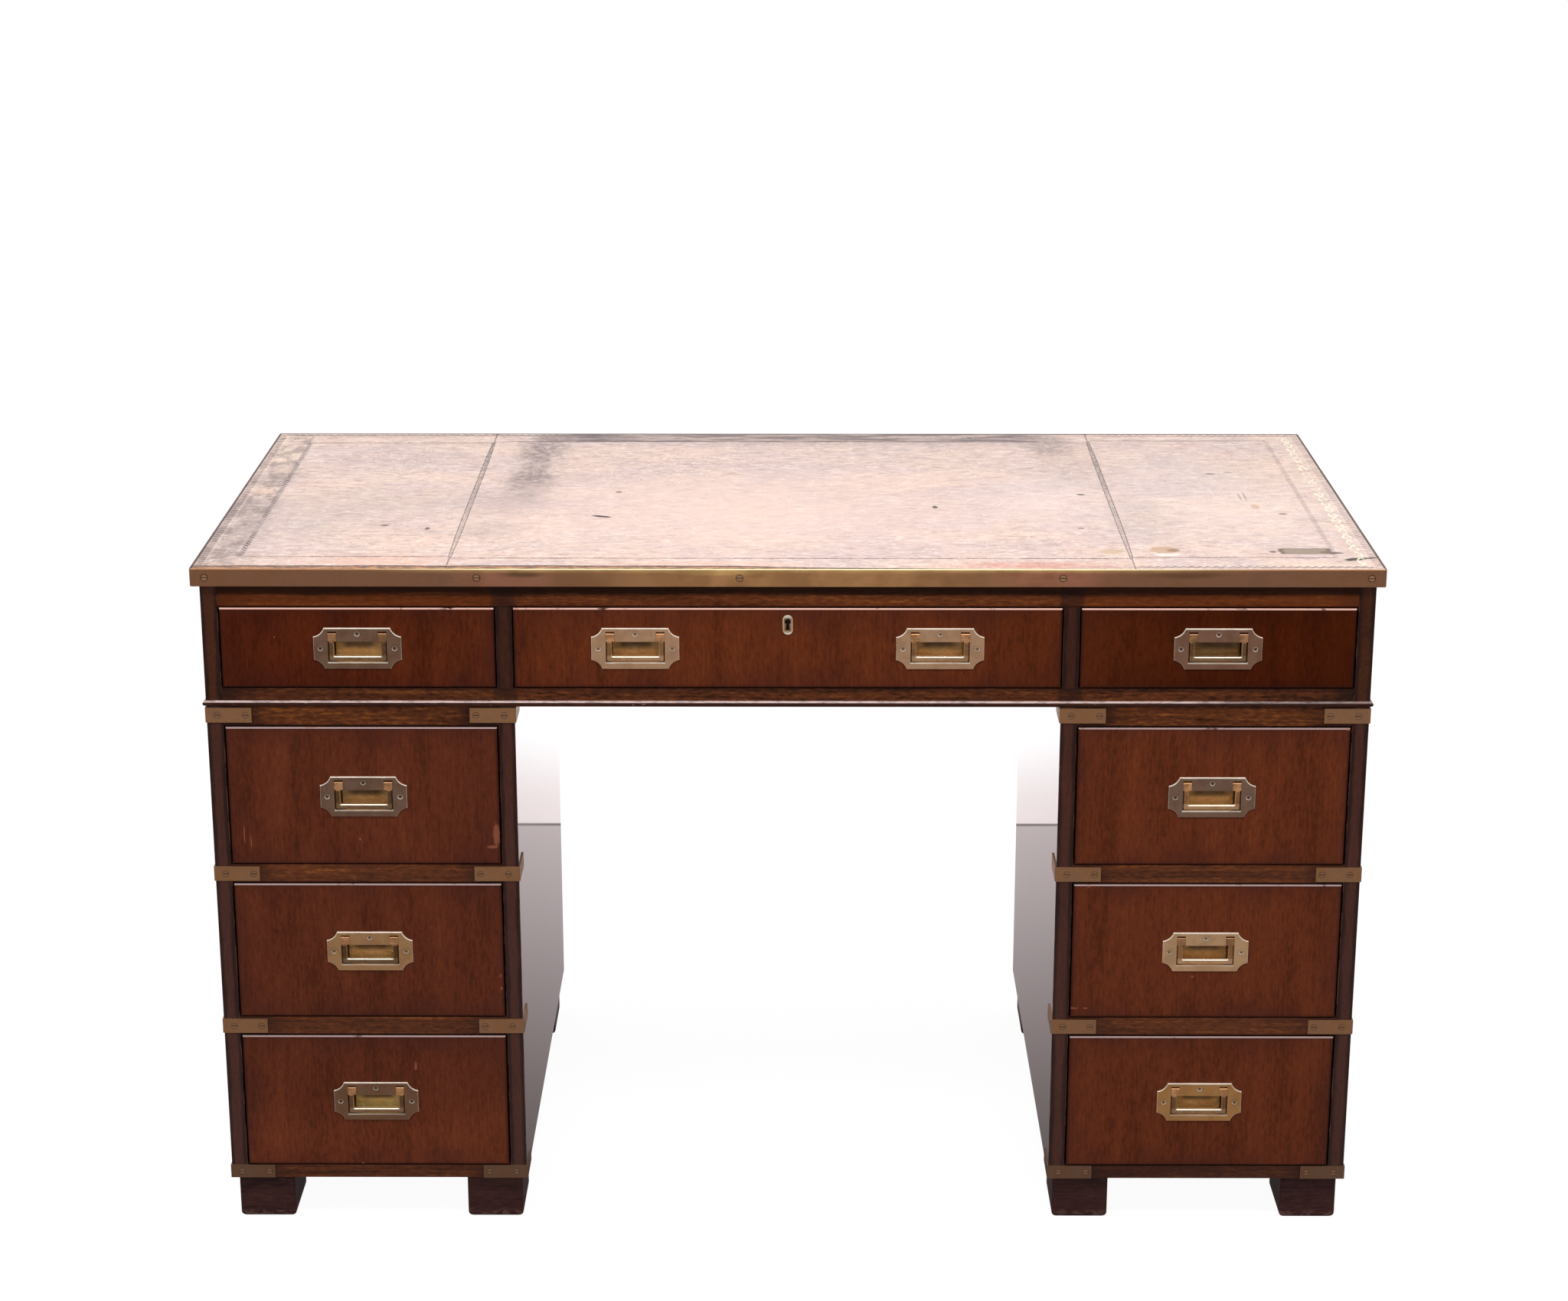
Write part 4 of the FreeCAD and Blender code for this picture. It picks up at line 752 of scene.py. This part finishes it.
# %% Lock
steel = Brass("lock steel", "X", tint(150, 146, 140), tint(96, 88, 80), 0.01)
steel.buff(0.45)
dress(steel, "lock_case", "lock_bolt")
print("lock dressed")

# %% [markdown]
# ## The leather top
#
# Three skins of leather lie side by side in the top. A bookbinder's wheels have pressed lines
# into them while damp: a rope line 45 mm in from the edge, a row of short strokes near the
# edge, and a gilt chain between the two, mostly rubbed off by elbows. The grooves are real
# relief, so the mesh is a height worked out over a grid, whose lines crowd together where a
# groove runs. Each skin is closed by walls and a floor under it.

# %% Leather shape
# Half the leather's length and width, its upper and lower face, its joints.
END, SIDE, TOP, FLOOR = 0.6334, 0.3104, 0.7687, 0.7673
JOINTS = (-0.3632, 0.3690)
# From the edge to the rope line at the ends, the chain and the strokes; pitch of the grid.
LINE, CHAIN, STROKES = 0.0445, 0.0195, 0.009
PITCH = 0.0045
# Each skin: name, two ends, distance to the rope line in front and behind.
SKINS = [("leather_left", -END, JOINTS[0], 0.0484, 0.0487),
         ("leather_middle", JOINTS[0], JOINTS[1], 0.0424, 0.0413),
         ("leather_right", JOINTS[1], END, 0.0469, 0.0356)]


def crowded(start, stop, grooves):
    """Grid lines at an even pitch, with extra ones at and beside each groove."""
    even = np.linspace(start, stop, int(round((stop - start) / PITCH)) + 1)
    beside = np.array([0, 0.0005, 0.001, 0.002, 0.003, 0.004])
    extra = (np.array(grooves)[:, None] + np.concatenate([-beside, beside])).ravel()
    lines = np.unique(np.round(np.concatenate([even, extra[(extra > start) & (extra < stop)]]), 6))
    return lines[np.concatenate([[True], np.diff(lines) > 0.0003])]


def leather_height(x, y, left, right, front_line, rear_line):
    """Top of the skin: a groove is a bell curve of the distance from its line, the rim a
    rounded fall within a millimetre, and two long waves keep it from being dead flat."""
    def pressed(distance, width, depth):
        return depth * np.exp(-(distance / (width / 2)) ** 2)

    from_end, from_side = END - np.abs(x), SIDE - np.abs(y)
    line = np.where(y < 0, front_line, rear_line)
    rim = np.minimum(np.minimum(x - left, right - x), from_side)
    rope = np.maximum(pressed(from_end - LINE, 0.005, 0.00028) * (from_side > line),
                      pressed(from_side - line, 0.0016, 0.00030) * (from_end > LINE))
    strokes = (pressed(from_end - STROKES, 0.005, 0.00012)
               + pressed(from_side - STROKES, 0.003, 0.00012))
    seam = sum(pressed(x - joint, 0.0045, 0.00020) for joint in JOINTS)
    waves = 0.00006 * (np.sin(9 * x + 4 * y) + np.sin(23 * y - 7 * x) - 2)
    return TOP - rope - strokes - seam - pressed(rim, 0.0016, 0.0004) + waves


def leather_skin(name, left, right, front_line, rear_line):
    """Closed skin between two X places: the height over a grid, walls, and one flat floor."""
    left, right = left + 0.00005, right - 0.00005
    xs = crowded(left, right,
                 [LINE - END, END - LINE, STROKES - END, END - STROKES, left, right])
    ys = crowded(-SIDE, SIDE, [front_line - SIDE, SIDE - rear_line,
                               STROKES - SIDE, SIDE - STROKES, -SIDE, SIDE])
    x, y = np.meshgrid(xs, ys, indexing="ij")
    height = leather_height(x, y, left, right, front_line, rear_line)
    top = np.stack([x, y, height], axis=-1).reshape(-1, 3)
    index = np.arange(len(xs) * len(ys)).reshape(len(xs), len(ys))
    quads = np.stack([index[:-1, :-1], index[1:, :-1], index[1:, 1:], index[:-1, 1:]],
                     axis=-1).reshape(-1, 4)
    ring = np.concatenate([index[:-1, 0], index[-1, :-1], index[:0:-1, -1], index[0, :0:-1]])
    foot = top[ring] * (1, 1, 0) + (0, 0, FLOOR)
    under = np.arange(len(ring)) + len(top)
    walls = np.stack([ring, under, np.roll(under, -1), np.roll(ring, -1)], axis=-1)
    mesh = bpy.data.meshes.new(name)
    mesh.from_pydata(np.concatenate([top, foot]), [],
                     quads.tolist() + walls.tolist() + [under[::-1].tolist()])
    mesh.shade_smooth()
    skin = bpy.data.objects.new(name, mesh)
    bpy.context.scene.collection.objects.link(skin)
    return skin


skins = [leather_skin(*places) for places in SKINS]
for skin in skins:
    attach(skin, "top_unit")
    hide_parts("leather_panels")
    print(skin.name, "faces:", len(skin.data.polygons))

# %% [markdown]
# The colour tells the same story. The hide is painted a dusty pink that holds the pale sheen of the
# room as a painted reflection; dye stays dark in the pressed lines, hand grease greys the borders,
# and creases run mostly from left to right. Every border pattern depends on the distance from the
# nearest edge and, for the strokes and the chain, on a wave along that edge.

# %% Leather colour
leather = Finish("worn leather", {"IOR": 1.45, "Specular IOR Level": 0.4})
fade, stain, noise, between = leather.fade, leather.stain, leather.noise, leather.between
x, y = leather.along("X"), leather.along("Y")
from_end, from_side = END - abs(x), SIDE - abs(y)
edge = from_end.least(from_side)
at_end = fade(from_side - from_end, -0.0005, 0.0005)

# Painted reflection: the pale dusty pink ground holds the sheen of the pale room along with the
# hide's own colour.
blotches = noise((0.13, 0.10, 1), 4.0, 0.6, 0.6)
leather.colour = leather.mix(fade(blotches, 0.36, 0.62),
                             tint(224, 194, 180), tint(216, 190, 184))
warm = noise((0.20, 0.09, 1), 3.0, 0.55, centre=(0.4, 0.2, 0))
stain(fade(warm, 0.48, 0.66) * 0.6, tint(234, 202, 184))
grey = noise((0.06, 0.05, 1), 6.0, 0.70, 0.5, centre=(0.1, 0.7, 0))
stain(fade(grey, 0.50, 0.70) * 0.45, tint(184, 164, 160))

grain = noise((0.0090, 0.0080, 1), 2.0, 0.70, 0.6)
dashes = noise((0.019, 0.0064, 1), 2.0, 0.60, 0.5, centre=(0.3, 0.1, 0))
specks = noise((0.0050, 0.0070, 1), 1.0, 0.6, centre=(0.2, 0.3, 0))
folds = noise((0.020, 0.046, 1), 2.0, 0.55, 1.6)
creases = fade(abs(folds - 0.5), 0.026, 0.008)
wrinkled = leather.spot((-0.13, 0.12, TOP), (0.13, 0.11, 1), rim=0.9)
for crease_x, crease_y in ((0.49, 0.06), (-0.47, 0.20)):
    wrinkled = wrinkled.most(leather.spot((crease_x, crease_y, TOP), (0.09, 0.10, 1), rim=0.9))
stain(fade(dashes, 0.46, 0.32) * 0.50, tint(172, 146, 142))
stain(fade(dashes, 0.53, 0.66) * 0.42, tint(252, 234, 222))
stain(fade(grain, 0.44, 0.32) * 0.40, tint(170, 142, 136))
stain(fade(grain, 0.58, 0.70) * 0.50, tint(252, 236, 226))
stain(fade(specks, 0.27, 0.19) * 0.60, tint(132, 104, 96))
stain(creases * wrinkled * 0.32, tint(140, 114, 110))

# %% Dirt and marks on the leather
# Each mark: X and Y, half its length and width, turn, colour on a screen, strength.
SMUDGES = [((-0.605, 0.10), (0.030, 0.05), 0.0, (130, 112, 106), 0.55),
           ((-0.605, -0.06), (0.030, 0.07), 0.0, (136, 118, 112), 0.65),
           ((-0.605, -0.17), (0.030, 0.08), 0.0, (130, 112, 106), 0.60),
           ((-0.600, -0.27), (0.050, 0.04), 0.0, (150, 132, 126), 0.45),
           ((-0.56, -0.10), (0.090, 0.12), 0.0, (190, 170, 164), 0.45),
           ((-0.607, 0.19), (0.016, 0.05), 0.0, (244, 218, 196), 0.85),
           ((-0.607, 0.025), (0.014, 0.025), 0.0, (232, 196, 170), 0.70),
           ((-0.24, 0.292), (0.060, 0.030), 0.0, (96, 78, 82), 0.70),
           ((-0.300, 0.22), (0.030, 0.10), 0.0, (122, 104, 106), 0.85),
           ((-0.300, 0.07), (0.030, 0.08), 0.0, (118, 98, 100), 0.90),
           ((-0.318, -0.03), (0.050, 0.06), 0.0, (150, 132, 130), 0.65),
           ((-0.327, -0.15), (0.040, 0.05), 0.0, (160, 142, 140), 0.55),
           ((0.52, -0.06), (0.110, 0.16), 0.0, (248, 228, 222), 0.35),
           ((0.30, -0.02), (0.090, 0.12), 0.0, (246, 224, 220), 0.40),
           ((-0.45, -0.03), (0.120, 0.07), 0.1, (186, 166, 160), 0.40),
           ((0.32, 0.24), (0.030, 0.060), 0.0, (136, 118, 114), 0.70),
           ((0.335, 0.13), (0.045, 0.070), 0.0, (182, 162, 158), 0.50),
           ((0.10, 0.26), (0.30, 0.020), 0.0, (170, 150, 148), 0.55),
           ((0.39, -0.10), (0.040, 0.09), 0.0, (190, 174, 168), 0.55),
           ((0.45, 0.10), (0.090, 0.10), 0.0, (214, 200, 200), 0.35),
           ((-0.49, 0.300), (0.120, 0.014), 0.0, (190, 166, 150), 0.50),
           ((0.262, -0.296), (0.095, 0.016), 0.0, (210, 134, 112), 0.80),
           ((-0.435, -0.280), (0.080, 0.026), 0.0, (238, 184, 156), 0.60),
           ((-0.10, -0.292), (0.120, 0.014), 0.0, (232, 178, 150), 0.50),
           ((-0.05, -0.06), (0.300, 0.18), 0.0, (242, 210, 198), 0.60)]
MARKS = [((0.5870, -0.2430), (0.014, 0.0036), -0.20, (116, 90, 72), 0.90),
         ((0.6080, -0.2700), (0.012, 0.0050), 0.30, (60, 42, 34), 1.0),
         ((0.6240, -0.2650), (0.012, 0.0028), 0.30, (80, 60, 50), 0.9),
         ((0.5240, -0.2400), (0.004, 0.0036), -0.4, (110, 88, 72), 0.9),
         ((0.4070, -0.2330), (0.016, 0.0110), 0.0, (196, 158, 126), 0.85),
         ((0.4170, -0.2345), (0.007, 0.0060), 0.0, (150, 108, 78), 0.80),
         ((0.4080, -0.2520), (0.014, 0.0050), 0.0, (250, 240, 230), 0.70),
         ((0.3500, -0.2400), (0.014, 0.0080), 0.1, (204, 172, 138), 0.8),
         ((-0.2097, -0.0923), (0.0115, 0.0032), -0.34, (54, 34, 32), 1.0),
         ((-0.1964, 0.0180), (0.004, 0.0030), 0.0, (74, 50, 46), 0.8),
         ((0.1671, -0.0501), (0.003, 0.0050), 0.0, (60, 40, 36), 0.95),
         ((0.3380, 0.0080), (0.005, 0.0034), 0.0, (84, 64, 60), 0.8),
         ((0.3250, -0.1425), (0.004, 0.0034), 0.0, (130, 104, 98), 0.7),
         ((0.4996, 0.1070), (0.006, 0.0036), 0.0, (124, 104, 98), 0.7),
         ((0.5218, 0.1140), (0.006, 0.0030), 0.0, (160, 140, 134), 0.6),
         ((0.5317, -0.0460), (0.005, 0.0080), 0.0, (196, 150, 112), 0.6),
         ((0.5584, -0.0790), (0.005, 0.0030), 0.0, (124, 90, 72), 0.8),
         ((0.5200, -0.0018), (0.0014, 0.014), 0.0, (160, 132, 124), 0.6),
         ((0.5260, 0.0000), (0.0014, 0.018), 0.0, (160, 132, 124), 0.6),
         ((-0.4490, -0.1322), (0.005, 0.0030), 0.0, (90, 66, 62), 0.8),
         ((-0.4001, -0.1460), (0.003, 0.0050), 0.0, (84, 58, 56), 0.85)]
for (mark_x, mark_y), (long, wide), turn, shade, amount in SMUDGES:
    soft = leather.spot((mark_x, mark_y, TOP), (long * 1.3, wide * 1.3, 1), turn, 0.5, rim=0.95)
    stain(soft * (fade(grain, 0.62, 0.40) * 0.5 + 0.5) * amount, tint(*shade))
burn_x, burn_y = abs(x - 0.5595) * (1 / 0.0275), abs(y + 0.2375) * (1 / 0.0110)
burn = burn_x.most(burn_y) + (noise((0.010, 0.010, 1), 3.0, 0.6) - 0.5) * 0.30
stain(fade(burn, 1.08, 0.94) * 0.95, tint(150, 130, 110))
stain(fade(abs(burn - 0.95), 0.16, 0.04) * 0.80, tint(98, 78, 64))
for (mark_x, mark_y), (long, wide), turn, shade, amount in MARKS:
    sharp = leather.spot((mark_x, mark_y, TOP), (long * 1.05, wide * 1.25, 1), turn, 0.45)
    stain(sharp * amount, tint(*shade))
print("marks on the leather:", len(SMUDGES) + len(MARKS) + 1)

# %% Tooled borders
worn = fade(noise((0.035, 0.035, 1), 3.0, 0.6), 0.34, 0.60)
mottled = fade(noise((0.0036, 0.0060, 1), 2.0, 0.8), 0.42, 0.56)
on_left = fade(x, JOINTS[0] + 0.0005, JOINTS[0] - 0.0005)
on_right = fade(x, JOINTS[1] - 0.0005, JOINTS[1] + 0.0005)
line = between(fade(y, -0.01, 0.01), on_left * 0.0060 + on_right * 0.0045 + 0.0424,
               on_left * 0.0074 - on_right * 0.0057 + 0.0413)
inside_end = fade(from_end, LINE, LINE + 0.001)
inside_side = fade(from_side - line, 0.0, 0.001)

patches = noise((0.026, 0.040, 1), 5.0, 0.72, centre=(0.6, 0.1, 0))
left_border = fade(x, -0.586, -0.592)
stain(left_border * fade(patches, 0.46, 0.58) * 0.60, tint(128, 108, 102))
stain(left_border * fade(patches, 0.43, 0.33) * 0.55, tint(242, 214, 194))
streaky = noise((0.060, 0.0100, 1), 3.0, 0.6, centre=(0.2, 0.8, 0))
back_strip = fade(from_side - line, 0.004, -0.003) * fade(y, 0.0, 0.1)
back_strip = back_strip * fade(abs(x - 0.015), 0.350, 0.250)
stain(back_strip * (fade(streaky, 0.58, 0.42) * 0.50 + 0.38), tint(92, 74, 78))

rope_end = fade(abs(from_end - LINE), 0.0034, 0.0022) * inside_side
rope_side = fade(abs(from_side - line), 0.0026, 0.0012) * inside_end
right_half = fade(x, -0.1, 0.1)
laid = y + (from_end - LINE) * between(right_half, 1.4, -1.4)
twisted = fade(laid.wave(0.0088), -0.35, 0.45) * (mottled * 0.5 + 0.5)
worn_end = between(right_half, 1.0, 0.55)
stain(rope_end * (worn * 0.45 + 0.55) * (twisted * 0.80 + 0.20) * worn_end,
      tint(72, 56, 66))
stain(rope_side * (worn * 0.45 + 0.35) * (mottled * 0.4 + 0.6), tint(96, 74, 72))

off_seam = abs(x - JOINTS[0]).least(abs(x - JOINTS[1]))
taper = fade(from_side - line, -0.030, 0.120) * 0.0014 + 0.0012
seam = fade(off_seam - taper, 0.0006, -0.0002) * inside_side
stain(seam * (mottled * 0.40 + 0.14) * (fade(y, -0.20, 0.24) + 0.4), tint(104, 84, 88))
lines = fade(abs(off_seam - taper), 0.0010, 0.0003) * inside_side
stain(lines * (mottled * 0.30 + 0.55), tint(84, 66, 66))
stain(fade(off_seam, 0.0012, 0.0004) * (1 - inside_side) * 0.60, tint(96, 74, 72))

slanted = y + from_end * between(right_half, -0.5, 0.5)
ticks = fade(slanted.wave(0.0080), 0.0, 0.6) * worn_end
ticks = ticks * fade(abs(from_end - 0.0058), 0.0038, 0.0028)
scallops = fade(abs(from_side - 0.0085 + x.wave(0.0088) * 0.0018), 0.0026, 0.0012)
scallops = scallops * fade(abs(x - 0.08), 0.22, 0.34)
strokes = between(at_end, scallops, ticks)
stain(strokes * (worn * 0.25 + 0.60), tint(84, 66, 66))
light = fade(abs(from_end - 0.0112), 0.0014, 0.0006) * at_end
stain(light * 0.15, tint(250, 234, 222))

along_edge = between(at_end, x, y)
strand = along_edge.wave(0.048) * 0.0042
from_chain = edge - CHAIN
crossed = abs(from_chain - strand).least(abs(from_chain + strand))
flower = abs(along_edge.wave(0.024)) * 0.0080 + abs(from_chain) * 1.2
chain = fade(crossed, 0.0017, 0.0010).most(fade(flower, 0.0042, 0.0030))
chain = chain * fade(noise((0.011, 0.015, 1), 2.0, 0.6), 0.38, 0.50)
kept = fade(noise((0.05, 0.05, 1), 3.0, 0.6) + x * 0.30, 0.50, 0.64)
gilt = chain * kept * between(at_end, 0.35, 1.0) * (mottled * 0.35 + 0.65)
stain(gilt * 0.95, tint(254, 242, 212))

# %% The leather's edge against the brass
ahead = y + SIDE
reach = fade(x, 0.10, -0.10) * 0.0085 + (noise((0.07, 0.07, 1), 3.0) - 0.5) * 0.006
worn_off = fade(x, 0.22, 0.10)
bare = leather.mix(fade(noise((0.014, 0.004, 1), 4.0, 0.75), 0.42, 0.58),
                   tint(100, 58, 36), tint(198, 136, 88))
stain(fade(ahead - reach, 0.0020, 0.0004) * worn_off * 0.95, bare)
lip = fade(abs(ahead - reach - 0.0028), 0.0028, 0.0012)
stain(lip * worn_off * (mottled * 0.20 + 0.75), tint(62, 38, 28))
closing = fade(edge, 0.0024, 0.0008) * fade(ahead, 0.003, 0.006)
stain(closing * 0.70, tint(84, 68, 64))

leather.feed("Base Color", leather.colour)
leather.feed("Roughness", blotches * 0.16 + 0.36)
leather.relief(grain * 1.2 - creases * 0.6 - strokes * 0.5 + chain * 0.2, 0.00030)
for skin in skins:
    skin.data.materials.append(leather.material)
print("leather nodes:", len(leather.tree.nodes))

# %% [markdown]
# ## Light and floor
#
# The room is plain: an even pale surround, one long soft lamp above the front, whose mirror
# image adds to the painted highlights on the rounded edges, and a broad soft lamp overhead. To
# the camera the floor is nearly white and keeps a faint shadow. Polished wood sees it as a grey
# card that glows, painted darker from behind the desk towards the front as a painted reflection
# of shade; it ends behind the desk where white paper rises.

# %% World
world = bpy.data.worlds.new("pale room")
bpy.context.scene.world = world
world.use_nodes = True
nodes, join = world.node_tree.nodes, world.node_tree.links.new
sky, rays = nodes["Background"], nodes.new("ShaderNodeLightPath")
seen, bright = nodes.new("ShaderNodeMath"), nodes.new("ShaderNodeMath")
seen.operation, bright.operation = "MAXIMUM", "MULTIPLY_ADD"
join(rays.outputs["Is Camera Ray"], seen.inputs[0])
join(rays.outputs["Is Glossy Ray"], seen.inputs[1])
join(seen.outputs[0], bright.inputs[0])
ROOM = 0.62
bright.inputs[1].default_value = 1.0 - ROOM
bright.inputs[2].default_value = ROOM
join(bright.outputs[0], sky.inputs["Strength"])
sky.inputs["Color"].default_value = (1.0, 1.0, 1.0, 1.0)
print("room brightness:", ROOM)

# %% Floor
CARD_END, REACH = 0.98, 14
floor_mesh = bpy.data.meshes.new("floor")
floor_mesh.from_pydata([(-REACH, -REACH, 0), (REACH, -REACH, 0), (REACH, REACH, 0),
                        (-REACH, REACH, 0)], [], [(0, 1, 2, 3)])
floor = bpy.data.objects.new("floor", floor_mesh)
bpy.context.scene.collection.objects.link(floor)
floor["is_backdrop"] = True

card = Finish("pale floor", {"Roughness": 0.9, "Specular IOR Level": 0.0})
depth = card.along("Y")
# Painted reflection: the grey that polished wood sees glows, graded darker from behind the desk
# towards the front.
shaded_reflection = card.mix(card.fade(depth, -2.6, -0.4), tint(40, 34, 32), tint(90, 81, 81))
shaded_reflection = card.mix(card.fade(depth, -0.5, 1.5), shaded_reflection, tint(221, 208, 209))
shaded_reflection = card.mix(card.fade(depth, CARD_END - 0.004, CARD_END), shaded_reflection, tint(120, 112, 112))
rising = card.mix(card.fade(depth, 1.02, 1.48), (1.04, 0.93, 0.93, 1), (1.30, 1.28, 1.29, 1))
paper = card.mix(card.fade(depth, CARD_END + 0.006, CARD_END + 0.012), shaded_reflection, rising)
card.shader.inputs["Base Color"].default_value = (0.88, 0.88, 0.88, 1)
ray = card.node("LightPath", output="Is Camera Ray")
gloss = card.node("LightPath", output="Is Glossy Ray")
glow = card.node("Emission", inputs={"Color": card.mix(gloss, (1.08, 1.08, 1.08, 1), paper)})
share = ray * 0.88 + gloss
both = card.node("MixShader", inputs={0: share.least(1.0), 2: glow})
card.tree.links.new(card.shader.outputs[0], both.socket.node.inputs[1])
card.tree.links.new(both.socket, card.surface)
floor_mesh.materials.append(card.material)
print("grey card ends at:", CARD_END)

# %% Lamps
def soft_lamp(name, place, target, size, watts):
    """Area lamp at a place, facing a target."""
    lamp = bpy.data.objects.new(name, bpy.data.lights.new(name, "AREA"))
    bpy.context.scene.collection.objects.link(lamp)
    lamp.data.shape = "RECTANGLE"
    lamp.data.size, lamp.data.size_y = size
    lamp.data.energy = watts
    lamp.location = place
    away = lamp.location - type(lamp.location)(target)
    lamp.rotation_euler = away.to_track_quat("Z", "Y").to_euler()
    return lamp


soft_lamp("front strip", (0.0, -1.5, 2.5), (0.0, -0.2, 0.5), (3.0, 0.45), 36.0)
soft_lamp("overhead", (0.0, 0.3, 2.6), (0.0, 0.0, 0.7), (2.4, 1.2), 9.0)

# %% Colour management and sizes
bpy.context.scene.view_settings.view_transform = "Standard"
low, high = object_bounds()
print("visual box:", [round(side, 4) for side in high - low])
